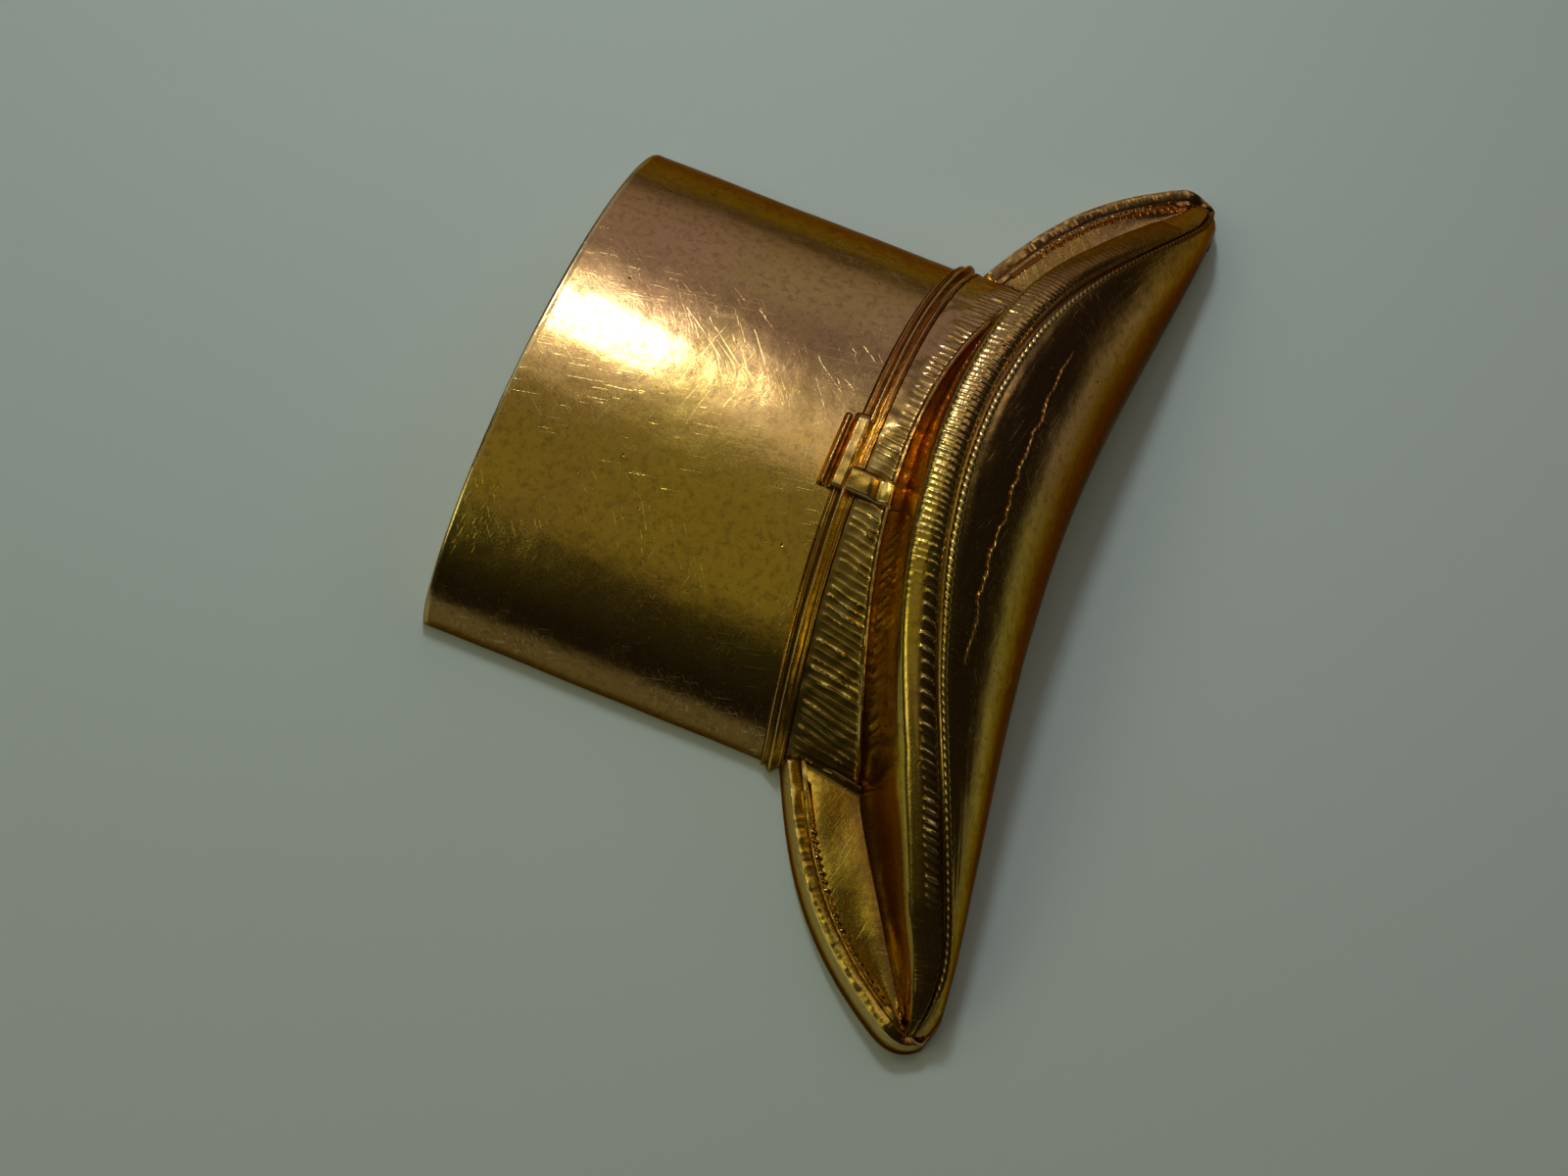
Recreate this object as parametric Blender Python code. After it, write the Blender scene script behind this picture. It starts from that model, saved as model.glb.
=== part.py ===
"""Top-hat cap badge: a hollow, high-relief brass badge with a pin, hinge and safety catch on its back.

The badge lies on its back. +Z comes out of its face, +Y points to the top of the hat and +X to the
wearer's left. The plane z = 0 is the back rim, and the origin is the centre of the footprint.
All sizes below are in millimetres and MM turns them into metres.
"""
import math

import bmesh
import bpy
import numpy as np
from mathutils import Matrix

MM = 0.001

# overall form
HALF_LENGTH = 20.0            # badge centre to the tip of a brim lobe
ORIGIN_SHIFT_Y = -0.485       # moves the modelled hat so that the origin is the footprint's centre
SHEET = 0.45                  # thickness of the struck sheet
SEAM = 0.05                   # gap between neighbouring pieces
TRIM_GAP = 0.035              # gap between trim and the sheet that carries it

# crown: a half-round tube, standing on its two long edges
CROWN_HALF_WIDTH = 11.69
CROWN_HEIGHT = 5.87
CROWN_FULLNESS = 0.58         # 0.5 is a plain ellipse
CROWN_TOP_Y = 12.13
TOP_EDGE_RADIUS = 0.08
TOP_PLATE_SET_BACK = 0.12
TOP_PLATE_THICKNESS = 0.5

# hat band
WELT_Y = -0.85
WELT_DROOP = 1.25
WELT_DROOP_POWER = 2.4
WELT_HALF_WIDTH = 0.46
WELT_HEIGHT = 0.36
RIBBON_LOWER_Y = -2.45
RIBBON_DROOP = 3.05
RIBBON_HEIGHT = 0.24
RIB_PITCH = 0.42
BAND_FOOT = 2.5               # degrees of arc that the band stops short of the back plane

# bow on the band
BOW_LEFT_X = -3.0
BOW_RIGHT_X = 0.35
BOW_BAR_TOP_Y = 0.18
BOW_TAIL_WIDTH = 1.2
BOW_HEIGHT = 0.72

# brim: heights and depths of its roll, and its plan curves
ROLL_HEIGHT = 8.54            # cord on the roll, above the back plane, at the middle
ROLL_TIP_HEIGHT = 1.2
ROLL_SPAN = 20.2
ROLL_ARCH_POWER = 2.13
ROLL_FADE = 1.4
FRONT_RIM_Y = -9.38
FRONT_RIM_DROOP = 1.8
FRONT_RIM_POWER = 1.75
ROLL_OVERHANG = 4.5           # cord behind the front rim, at the middle
ROLL_OVERHANG_SPAN = 18.8
ROLL_OVERHANG_POWER = 1.36
CREASE_START_X = 11.6         # where the front shell leaves the crown and meets the lobe pan
CREASE_SLOPE = 0.605
CREASE_LIFT = 0.2             # the crease runs a little above the line of the ribbon's end
CREASE_LIFT_LENGTH = 0.5
CORD_DIP = 0.13
CORD_DIP_X = 13.0
CORD_DIP_SPREAD = 4.0
CORD_LOWEST_Y = -10.52
CORD_LEVELLING = 0.12         # how softly the cord levels out towards the tips
ROLL_REACH = 0.9              # crest of the roll behind the cord, at the middle
ROLL_REACH_SIDES = 0.3        # and how much further back it runs on both sides
ROLL_REACH_SIDES_X = 8.0
ROLL_REACH_END_X = 20.6
ROLL_REACH_FADE = 4.6
NOSE_START_X = 18.2           # where the front shell begins to close into the rounded tip
NOSE_END_X = 19.86
NOSE_Y = -9.95
PAN_FLOOR = 0.85
SHELL_END_X = 19.1

# lobes
LOBE_START_X = 12.05
LOBE_START_Y = -1.61
LOBE_CURVE_END_X = 19.6
EDGE_ROLL_HEIGHT = 1.3
EDGE_ROLL_WIDTH = 0.75
EDGE_ROLL_TIP_WIDTH = 0.5
BEADING_WIDTH = 0.32

# trim on the roll
CORD_WIDTH = 0.42
CORD_HEIGHT = 0.27
CORD_SHORTFALL = 0.5          # cord ends before the shell does
FINE_CORD_WIDTH = 0.24
FINE_CORD_HEIGHT = 0.14
FINE_CORD_ENDS = (-8.0, 5.6)
FINE_CORD_Y = -6.59
FINE_CORD_DROOP = 3.6
BINDING_HEIGHT = 0.22
BINDING_HALF_LENGTH = 16.0

# pin, hinge and catch
PIN_Y = 2.5
PIN_Z = 1.9
HINGE_X = -6.2
CATCH_X = 5.6
STEM_RADIUS = 0.32
STEM_POINT_X = 7.6
STEM_TAPER = 2.6
EYE_RADIUS = 0.82
EYE_WIDTH = 0.9
RIVET_RADIUS = 0.36
RIVET_CLEARANCE = 0.05
BAR_UNDERSIDE_Z = 3.15
BAR_THICKNESS = 0.6
BAR_WIDTH = 3.0
FOOT_THICKNESS = 0.5
EAR_THICKNESS = 0.42
EAR_GAP = 1.1
HOUSING_OUTER_RADIUS = 1.2
HOUSING_BORE = 0.86
SLEEVE_RADIUS = 0.8
SLEEVE_BORE = 0.5
CATCH_SLOT = 0.8

BRASS = (0.62, 0.37, 0.13)
DARK_BRASS = (0.42, 0.24, 0.09)
PIN_STEEL = (0.56, 0.55, 0.52)


def clear_scene():
    for item in list(bpy.data.objects):
        bpy.data.objects.remove(item, do_unlink=True)


def finish_material(name, colour, roughness):
    material = bpy.data.materials.new(name)
    material.use_nodes = True
    shader = material.node_tree.nodes["Principled BSDF"]
    shader.inputs["Base Color"].default_value = (*colour, 1.0)
    shader.inputs["Metallic"].default_value = 1.0
    shader.inputs["Roughness"].default_value = roughness
    return material


def place(name, mesh, colour, roughness, sharp_degrees=35.0):
    """Links a finished mesh to the scene under its node name, shaded smooth with its own material."""
    obj = bpy.data.objects.new(name, mesh)
    bpy.context.scene.collection.objects.link(obj)
    mesh.materials.clear()
    mesh.materials.append(finish_material(name + "_finish", colour, roughness))
    mesh.shade_smooth()
    mesh.set_sharp_from_angle(angle=math.radians(sharp_degrees))
    return obj


def mesh_from_bmesh(name, work):
    """Turns the bmesh's faces outwards and writes it as a mesh."""
    bmesh.ops.recalc_face_normals(work, faces=work.faces)
    mesh = bpy.data.meshes.new(name)
    work.to_mesh(mesh)
    work.free()
    return mesh


def grid_solid(name, outer, inner, colour, roughness):
    """A closed solid between two grids of points, both of shape (columns, rows, 3), in millimetres."""
    columns, rows, _ = outer.shape
    shift = np.array((0.0, ORIGIN_SHIFT_Y, 0.0))
    work = bmesh.new()
    sides = []
    for grid in (outer, inner):
        points = (grid + shift) * MM
        sides.append([[work.verts.new(points[i, j]) for j in range(rows)] for i in range(columns)])
    top, bottom = sides
    for i in range(columns - 1):
        for j in range(rows - 1):
            work.faces.new((top[i][j], top[i + 1][j], top[i + 1][j + 1], top[i][j + 1]))
            work.faces.new((bottom[i][j], bottom[i][j + 1], bottom[i + 1][j + 1], bottom[i + 1][j]))
        for j in (0, rows - 1):
            work.faces.new((top[i][j], top[i + 1][j], bottom[i + 1][j], bottom[i][j]))
    for i in (0, columns - 1):
        for j in range(rows - 1):
            work.faces.new((top[i][j], top[i][j + 1], bottom[i][j + 1], bottom[i][j]))
    bmesh.ops.triangulate(work, faces=work.faces, quad_method="SHORT_EDGE")
    return place(name, mesh_from_bmesh(name, work), colour, roughness)


# ---------------------------------------------------------------- crown surface

def crown_point(angle, y):
    """A point of the crown's outer face: angle 0 is its +X long edge and pi its -X long edge."""
    x = CROWN_HALF_WIDTH * math.cos(angle)
    z = CROWN_HEIGHT * max(math.sin(angle), 0.0) ** (2.0 * CROWN_FULLNESS)
    return np.array((x, y, z))


def crown_normal(angle):
    """The crown's outward direction, level along the two long edges."""
    if min(angle, math.pi - angle) < 1e-6:
        return np.array((math.copysign(1.0, math.cos(angle)), 0.0, 0.0))
    sine = math.sin(angle)
    power = 2.0 * CROWN_FULLNESS
    dx = -CROWN_HALF_WIDTH * sine
    dz = CROWN_HEIGHT * power * sine ** (power - 1.0) * math.cos(angle)
    normal = np.array((dz, 0.0, -dx))
    return normal / np.linalg.norm(normal)


def crown_height(x):
    inside = max(1.0 - (x / CROWN_HALF_WIDTH) ** 2, 0.0)
    return CROWN_HEIGHT * inside ** CROWN_FULLNESS


def crown_angles(count, from_x=CROWN_HALF_WIDTH, to_x=-CROWN_HALF_WIDTH):
    start = math.acos(from_x / CROWN_HALF_WIDTH)
    end = math.acos(to_x / CROWN_HALF_WIDTH)
    return np.linspace(start, end, count)


def band_angles(count):
    foot = math.radians(BAND_FOOT)
    return np.linspace(foot, math.pi - foot, count)


def welt_line(x):
    return WELT_Y - WELT_DROOP * abs(x / CROWN_HALF_WIDTH) ** WELT_DROOP_POWER


def ribbon_lower_line(x):
    return RIBBON_LOWER_Y - RIBBON_DROOP * (x / CROWN_HALF_WIDTH) ** 2


def on_crown(angles, lines, heights):
    """Grid of points raised from the crown: line j gives y from x, heights[j] gives the rise."""
    grid = []
    for angle in angles:
        normal = crown_normal(angle)
        column = []
        for line, height in zip(lines, heights):
            y = line(CROWN_HALF_WIDTH * math.cos(angle))
            column.append(crown_point(angle, y) + normal * height)
        grid.append(column)
    return np.array(grid)


def build_crown():
    angles = crown_angles(49)
    lines = [lambda x: CROWN_TOP_Y, lambda x: CROWN_TOP_Y - TOP_EDGE_RADIUS, ribbon_lower_line]
    outer = on_crown(angles, lines, (-TOP_EDGE_RADIUS, 0.0, 0.0))
    inner = on_crown(angles, lines, [-SHEET] * len(lines))
    outer[..., 2] = np.maximum(outer[..., 2], 0.0)
    inner[..., 2] = np.maximum(inner[..., 2], 0.0)
    grid_solid("crown_shell", outer, inner, BRASS, 0.26)


def build_top_plate():
    """The D-shaped plate that closes the top of the hat, let into the end of the crown."""
    angles = crown_angles(41)
    front = CROWN_TOP_Y - TOP_PLATE_SET_BACK
    lift = SEAM
    columns = []
    for angle in angles:
        edge = crown_point(angle, front) - crown_normal(angle) * (SHEET + SEAM)
        edge[2] = max(edge[2], lift)
        foot = np.array((edge[0], front, lift - 0.02))
        columns.append((foot, edge))
    outer = np.array(columns)
    inner = outer - np.array((0.0, TOP_PLATE_THICKNESS, 0.0))
    keep = outer[:, 1, 2] - outer[:, 0, 2] > 0.01
    grid_solid("crown_top_plate", outer[keep], inner[keep], BRASS, 0.3)


# ---------------------------------------------------------------- hat band

def build_welt():
    """The raised moulding above the ribbon: a fine ridge, a groove and the main ridge."""
    w, h = WELT_HALF_WIDTH, WELT_HEIGHT
    offsets = (w, 0.8 * w, 0.5 * w, 0.25 * w, -0.25 * w, -0.6 * w, -0.8 * w, -w)
    rises = (0.12 * h, 0.5 * h, 0.28 * h, h, h, 0.3 * h, 0.45 * h, 0.12 * h)
    lines = [lambda x, o=o: welt_line(x) + o for o in offsets]
    angles = band_angles(37)
    outer = on_crown(angles, lines, [TRIM_GAP + rise for rise in rises])
    inner = on_crown(angles, lines, [TRIM_GAP] * len(lines))
    grid_solid("band_welt", outer, inner, BRASS, 0.3)


def build_ribbon():
    """The ribbed ribbon, its ribs lying across the band."""
    arc = 28.0
    ribs = int(arc / RIB_PITCH)
    angles = band_angles(2 * ribs + 1)

    def upper(x):
        return welt_line(x) - WELT_HALF_WIDTH - SEAM

    def lower(x):
        return ribbon_lower_line(x) + SEAM

    lines = (upper, lower)
    outer = on_crown(angles, lines, [TRIM_GAP + RIBBON_HEIGHT] * 2)
    low = on_crown(angles, lines, [TRIM_GAP + 0.5 * RIBBON_HEIGHT] * 2)
    outer[1::2] = low[1::2]
    inner = on_crown(angles, lines, [TRIM_GAP] * 2)
    grid_solid("band_ribbon", outer, inner, BRASS, 0.34)


def bow_patch(name, left, right, lines, rises, undersides):
    """A raised tab of the bow: its top is crowned, its underside steps over the band."""
    angles = crown_angles(9, right, left)
    top = [TRIM_GAP + rise for rise in rises]
    outer = on_crown(angles, lines, top)
    ends = on_crown(angles, lines, [0.85 * rise for rise in top])
    outer[0] = ends[0]
    outer[-1] = ends[-1]
    inner = on_crown(angles, lines, undersides)
    grid_solid(name, outer, inner, BRASS, 0.28)


def build_bow():
    welt_clear = WELT_HEIGHT + 2.0 * TRIM_GAP + 0.02
    ribbon_clear = RIBBON_HEIGHT + 2.0 * TRIM_GAP + 0.02
    welt_top = WELT_HALF_WIDTH + SEAM
    split = -0.30 * WELT_HALF_WIDTH
    bar_lines = [lambda x: BOW_BAR_TOP_Y,
                 lambda x: 0.5 * (BOW_BAR_TOP_Y + welt_line(x) + welt_top),
                 lambda x: welt_line(x) + welt_top + 0.01,
                 lambda x: welt_line(x) + welt_top,
                 lambda x: welt_line(x) + split]
    bow_patch("bow_bar", BOW_LEFT_X, BOW_RIGHT_X, bar_lines,
              (0.5, 0.5 * BOW_HEIGHT + 0.3, BOW_HEIGHT, BOW_HEIGHT, 0.85 * BOW_HEIGHT),
              (TRIM_GAP, TRIM_GAP, TRIM_GAP, welt_clear, welt_clear))
    tail_right = BOW_LEFT_X + BOW_TAIL_WIDTH
    tail_lines = [lambda x: welt_line(x) + split - SEAM,
                  lambda x: welt_line(x) - WELT_HALF_WIDTH,
                  lambda x: welt_line(x) - WELT_HALF_WIDTH - SEAM,
                  lambda x: ribbon_lower_line(x) - 0.05]
    bow_patch("bow_tail", BOW_LEFT_X, tail_right, tail_lines,
              (0.8 * BOW_HEIGHT, 0.78 * BOW_HEIGHT, 0.75 * BOW_HEIGHT, 0.62 * BOW_HEIGHT),
              (welt_clear, welt_clear, ribbon_clear, ribbon_clear))


# ---------------------------------------------------------------- brim surface

def cord_height(x):
    inside = max(1.0 - abs(x / ROLL_SPAN) ** ROLL_ARCH_POWER, 0.0)
    return ROLL_TIP_HEIGHT + (ROLL_HEIGHT - ROLL_TIP_HEIGHT) * inside ** ROLL_FADE


def front_rim_line(x):
    u = min((x / HALF_LENGTH) ** 2, 1.0)
    return FRONT_RIM_Y - FRONT_RIM_DROOP * (1.0 - (1.0 - u) ** FRONT_RIM_POWER)


def cord_line(x):
    inside = max(1.0 - (x / ROLL_OVERHANG_SPAN) ** 2, 0.0)
    y = front_rim_line(x) + 0.15 + ROLL_OVERHANG * inside ** ROLL_OVERHANG_POWER
    y -= CORD_DIP * math.exp(-((abs(x) - CORD_DIP_X) / CORD_DIP_SPREAD) ** 2)
    levelled = math.log(1.0 + math.exp((y - CORD_LOWEST_Y) / CORD_LEVELLING))
    return CORD_LOWEST_Y + CORD_LEVELLING * levelled


def shell_edge_line(x):
    """Upper edge of the front shell: the ribbon's lower edge, then the crease of the lobes."""
    if abs(x) < CREASE_START_X:
        return ribbon_lower_line(x) - SEAM
    out = abs(x) - CREASE_START_X
    lift = CREASE_LIFT * (1.0 - math.exp(-out / CREASE_LIFT_LENGTH))
    return ribbon_lower_line(CREASE_START_X) - SEAM + lift - CREASE_SLOPE * out


def nose_factor(x):
    """1 along the brim, falling towards 0 where its tips round off."""
    t = min(max((abs(x) - NOSE_START_X) / (NOSE_END_X - NOSE_START_X), 0.0), 1.0)
    return math.sqrt(1.0 - 0.9975 * t ** 1.5)


def brim_stations(x):
    """The brim's cross-section at x, from the hat band over the roll to the front rim: (y, z)."""
    nose = nose_factor(x)
    edge_y = NOSE_Y + (shell_edge_line(x) - NOSE_Y) * nose
    edge_z = max(crown_height(x), PAN_FLOOR) * nose
    top_z = cord_height(x) * nose
    cord_y = NOSE_Y + (cord_line(x) - NOSE_Y) * nose
    rim_y = NOSE_Y + (front_rim_line(x) - NOSE_Y) * nose
    sides = min(max((abs(x) - 2.0) / (ROLL_REACH_SIDES_X - 2.0), 0.0), 1.0)
    reach = ROLL_REACH + ROLL_REACH_SIDES * sides * sides * (3.0 - 2.0 * sides)
    reach *= min(1.0, (ROLL_REACH_END_X - abs(x)) / ROLL_REACH_FADE) * nose
    crest_y = cord_y + reach
    climb_y = crest_y - edge_y
    climb_z = 1.04 * top_z - edge_z
    wall = rim_y - cord_y
    return [
        (edge_y, edge_z),
        (edge_y + 0.28 * climb_y, edge_z + 0.22 * climb_z),
        (edge_y + 0.47 * climb_y, edge_z + 0.72 * climb_z),
        (edge_y + 0.67 * climb_y, edge_z + 0.95 * climb_z),
        (crest_y, 1.04 * top_z),
        (cord_y + 0.60 * reach, 1.032 * top_z),
        (cord_y + 0.24 * reach, 1.005 * top_z),
        (cord_y, 0.98 * top_z),
        (cord_y + 0.16 * wall, 0.94 * top_z),
        (cord_y + 0.40 * wall, 0.855 * top_z),
        (cord_y + 0.64 * wall, 0.735 * top_z),
        (cord_y + 0.84 * wall, 0.56 * top_z),
        (cord_y + 0.96 * wall, 0.33 * top_z),
        (rim_y, 0.0),
    ]


STATION_RIB_TOP = 2.75
STATION_RIB_LOW = 6.0
STATION_CORD = 7.0
STATION_RIM = 13.0


def brim_point(x, v):
    """The brim's outer face at station v, a smooth curve through the stations."""
    stations = brim_stations(x)
    last = len(stations) - 1
    k = min(int(v), last - 1)
    t = v - k
    before = np.array(stations[max(k - 1, 0)])
    here = np.array(stations[k])
    there = np.array(stations[k + 1])
    after = np.array(stations[min(k + 2, last)])
    y, z = 0.5 * ((2.0 * here) + (there - before) * t
                  + (2.0 * before - 5.0 * here + 4.0 * there - after) * t ** 2
                  + (3.0 * here - before - 3.0 * there + after) * t ** 3)
    return np.array((x, y, z))


def brim_normal(x, v):
    """The brim's outward direction, from the slopes along it and across it."""
    step = 0.02
    v0 = max(v - step, 0.0)
    v1 = min(v + step, STATION_RIM)
    along = brim_point(x + step, v) - brim_point(x - step, v)
    across = brim_point(x, v1) - brim_point(x, v0)
    normal = np.cross(across, along)
    if v >= STATION_RIM:
        normal[2] = 0.0
    return normal / np.linalg.norm(normal)


def on_brim(columns, stations, rise):
    """Grid of points raised from the brim; rise(x, v) is the height along the brim's normal."""
    return np.array([[brim_point(x, v) + brim_normal(x, v) * rise(x, v) for v in stations]
                     for x in columns])


def shell_columns():
    middle = np.linspace(-CREASE_START_X, CREASE_START_X, 27)
    side = np.linspace(CREASE_START_X, SHELL_END_X, 10)[1:]
    return np.concatenate((-side[::-1], middle, side))


def shell_thickness(x):
    width = shell_edge_line(x) - front_rim_line(x)
    return min(SHEET, 0.17 * width)


def build_front_shell():
    """The brim's front: trough, roll and front wall in one struck sheet, open at the back."""
    stations = np.concatenate((np.arange(0.0, 8.0, 0.5),
                               np.arange(8.0, STATION_RIM + 0.1, 1.0)))
    columns = shell_columns()
    outer = on_brim(columns, stations, lambda x, v: 0.0)
    inner = on_brim(columns, stations, lambda x, v: -shell_thickness(x))
    inner[..., 2] = np.maximum(inner[..., 2], 0.0)
    grid_solid("brim_front_shell", outer, inner, BRASS, 0.28)


def brim_strip(name, columns, centre, half_width, height, colour, roughness):
    """Rounded trim laid along the brim: centre(x) is its station, half_width is in millimetres."""
    outer = []
    inner = []
    for x in columns:
        v = centre(x)
        gauge = np.linalg.norm(brim_point(x, v + 0.1) - brim_point(x, v - 0.1)) / 0.2
        spread = half_width / gauge
        stations = [v - spread, v - 0.55 * spread, v, v + 0.55 * spread, v + spread]
        rises = [0.25 * height, 0.85 * height, height, 0.85 * height, 0.25 * height]
        outer.append([brim_point(x, s) + brim_normal(x, s) * (TRIM_GAP + 0.02 + r)
                      for s, r in zip(stations, rises)])
        inner.append([brim_point(x, s) + brim_normal(x, s) * (TRIM_GAP + 0.02) for s in stations])
    grid_solid(name, np.array(outer), np.array(inner), colour, roughness)


def fine_cord_station(x):
    """Station whose y is the fine cord's line, found by halving."""
    target = FINE_CORD_Y - FINE_CORD_DROOP * (x / HALF_LENGTH) ** 2
    low, high = STATION_CORD + 0.9, STATION_RIM
    for _ in range(30):
        middle = 0.5 * (low + high)
        if brim_point(x, middle)[1] > target:
            low = middle
        else:
            high = middle
    return low


def build_brim_trim():
    span = SHELL_END_X - CORD_SHORTFALL
    brim_strip("brim_twisted_cord", np.linspace(-span, span, 61), lambda x: STATION_CORD,
               0.5 * CORD_WIDTH, CORD_HEIGHT, BRASS, 0.3)
    brim_strip("brim_fine_cord", np.linspace(*FINE_CORD_ENDS, 25), fine_cord_station,
               0.5 * FINE_CORD_WIDTH, FINE_CORD_HEIGHT, BRASS, 0.3)

    ribs = int(2.0 * BINDING_HALF_LENGTH / RIB_PITCH)
    columns = np.linspace(-BINDING_HALF_LENGTH, BINDING_HALF_LENGTH, 2 * ribs + 1)
    stations = np.linspace(STATION_RIB_TOP, STATION_RIB_LOW, 5)
    rib_top = on_brim(columns, stations, lambda x, v: TRIM_GAP + 0.02 + BINDING_HEIGHT)
    rib_foot = on_brim(columns, stations, lambda x, v: TRIM_GAP + 0.02 + 0.45 * BINDING_HEIGHT)
    rib_top[1::2] = rib_foot[1::2]
    seat = on_brim(columns, stations, lambda x, v: TRIM_GAP + 0.02)
    grid_solid("brim_binding", rib_top, seat, BRASS, 0.34)


# ---------------------------------------------------------------- lobes

def lobe_outline(count):
    """Outer edge of the +X lobe in plan, from the crown's base to the tip and round it."""
    points = []
    along = np.linspace(0.0, 1.0, count)
    for f in along:
        x = LOBE_START_X + (LOBE_CURVE_END_X - LOBE_START_X) * f
        s = (x - 10.0) / 10.0
        points.append((x, LOBE_START_Y - 4.6 * s - 3.3 * s ** 4))
    start = np.array(points[-1])
    corner = np.array((20.36, -10.02))
    end = np.array((19.50, -10.82))
    for f in np.linspace(0.0, 1.0, 7)[1:]:
        points.append(tuple((1 - f) ** 2 * start + 2 * f * (1 - f) * corner + f ** 2 * end))
    return np.array(points)


def plan_normals(points):
    """Directions to the right of the path, which is the inside of the +X lobe."""
    slopes = np.gradient(points, axis=0)
    normals = np.stack((slopes[:, 1], -slopes[:, 0]), axis=1)
    return normals / np.linalg.norm(normals, axis=1)[:, None]


def mirrored(grid, side):
    flipped = grid.copy()
    flipped[..., 0] *= side
    return flipped


def lobe_widths(points):
    """Width of the edge roll at each outline point: it narrows as the lobe runs out at its tip."""
    room = np.array([y - shell_edge_line(x) for x, y in points])
    taper = np.clip((room - 0.4) / 1.8, 0.0, 1.0)
    return EDGE_ROLL_TIP_WIDTH + (EDGE_ROLL_WIDTH - EDGE_ROLL_TIP_WIDTH) * taper


def build_edge_roll(side, name):
    """The rolled rim of a lobe, a solid bead of metal that stands on the back plane."""
    points = lobe_outline(17)
    normals = plan_normals(points)
    widths = lobe_widths(points)
    h = EDGE_ROLL_HEIGHT
    profile = ((0.0, 0.35 * h), (0.06, 0.72 * h), (0.28, 0.95 * h), (0.55, h),
               (0.85, 0.88 * h), (1.0, 0.62 * h))
    outer = np.zeros((len(points), len(profile), 3))
    inner = np.zeros_like(outer)
    for i, (point, normal, width) in enumerate(zip(points, normals, widths)):
        for j, (f, z) in enumerate(profile):
            x, y = point + normal * width * f
            x = max(x, LOBE_START_X)
            outer[i, j] = (x, y, z)
            inner[i, j] = (x, y, 0.0)
    grid_solid(name, mirrored(outer, side), mirrored(inner, side), BRASS, 0.32)


def lobe_pan_curves(count):
    """Matching points of the lobe pan's two edges, in plan: along the edge roll, along the crease."""
    points = lobe_outline(count)[:count]
    inner_edge = points + plan_normals(points) * (lobe_widths(points)[:, None] + SEAM)
    inner_edge[0, 0] = LOBE_START_X
    crease_x = np.linspace(LOBE_START_X, inner_edge[-1, 0] - 0.25, count)
    crease = np.array([(x, shell_edge_line(x) + SEAM) for x in crease_x])
    gap = np.linalg.norm(inner_edge - crease, axis=1)
    keep = (inner_edge[:, 1] > crease[:, 1]) & (gap > 0.25)
    return inner_edge[keep], crease[keep]


def pan_height(f):
    """Height of the pan from the edge roll, f = 0, to the crease, f = 1: a shallow dish."""
    return PAN_FLOOR + 0.12 * (1.0 - f) ** 2 - 0.30 * math.sin(math.pi * f) * 0.5


def build_pan(side, name):
    inner_edge, crease = lobe_pan_curves(17)
    fractions = np.linspace(0.0, 1.0, 5)
    outer = np.array([[(*(a + (b - a) * f), pan_height(f)) for f in fractions]
                      for a, b in zip(inner_edge, crease)])
    inner = outer - np.array((0.0, 0.0, SHEET))
    grid_solid(name, mirrored(outer, side), mirrored(inner, side), BRASS, 0.28)


def build_beading(side, name):
    """The row of stitches along the inside of the edge roll, lying on the pan."""
    inner_edge, crease = lobe_pan_curves(17)
    width = BEADING_WIDTH
    offsets = (0.0, 0.5, 1.0)
    rises = (0.10, 0.20, 0.10)
    outer = []
    inner = []
    for a, b in zip(inner_edge, crease):
        span = np.linalg.norm(b - a)
        if span < 2.2 * width:
            continue
        step = (b - a) / span
        top = []
        low = []
        for offset, rise in zip(offsets, rises):
            distance = 0.06 + width * offset
            seat = pan_height(distance / span) + TRIM_GAP + 0.02
            top.append((*(a + step * distance), seat + rise))
            low.append((*(a + step * distance), seat))
        outer.append(top)
        inner.append(low)
    grid_solid(name, mirrored(np.array(outer), side), mirrored(np.array(inner), side), BRASS, 0.3)


# ---------------------------------------------------------------- pin, hinge and catch

def local_mesh(name, work):
    """Scales a bmesh drawn in millimetres to metres and returns it as a mesh."""
    bmesh.ops.scale(work, vec=(MM, MM, MM), verts=work.verts)
    return mesh_from_bmesh(name, work)


def box(work, low, high):
    """Adds a block between two corners."""
    size = np.array(high) - np.array(low)
    centre = 0.5 * (np.array(high) + np.array(low))
    made = bmesh.ops.create_cube(work, size=1.0)
    bmesh.ops.scale(work, vec=size, verts=made["verts"])
    bmesh.ops.translate(work, vec=centre, verts=made["verts"])
    return made["verts"]


def plate(name, outline, depth, axis):
    """Extrudes a closed outline: axis Y takes (x, z) points, axis X takes (y, z) points."""
    work = bmesh.new()
    corners = []
    for a, b in outline:
        corners.append(work.verts.new((a, -0.5 * depth, b) if axis == "Y" else (-0.5 * depth, a, b)))
    face = work.faces.new(corners)
    made = bmesh.ops.extrude_face_region(work, geom=[face])
    moved = [item for item in made["geom"] if isinstance(item, bmesh.types.BMVert)]
    bmesh.ops.translate(work, vec=(0, depth, 0) if axis == "Y" else (depth, 0, 0), verts=moved)
    return local_mesh(name, work)


def arc(centre, radius, start_degrees, end_degrees, steps):
    angles = np.radians(np.linspace(start_degrees, end_degrees, steps))
    return [(centre[0] + radius * math.cos(a), centre[1] + radius * math.sin(a)) for a in angles]


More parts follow.
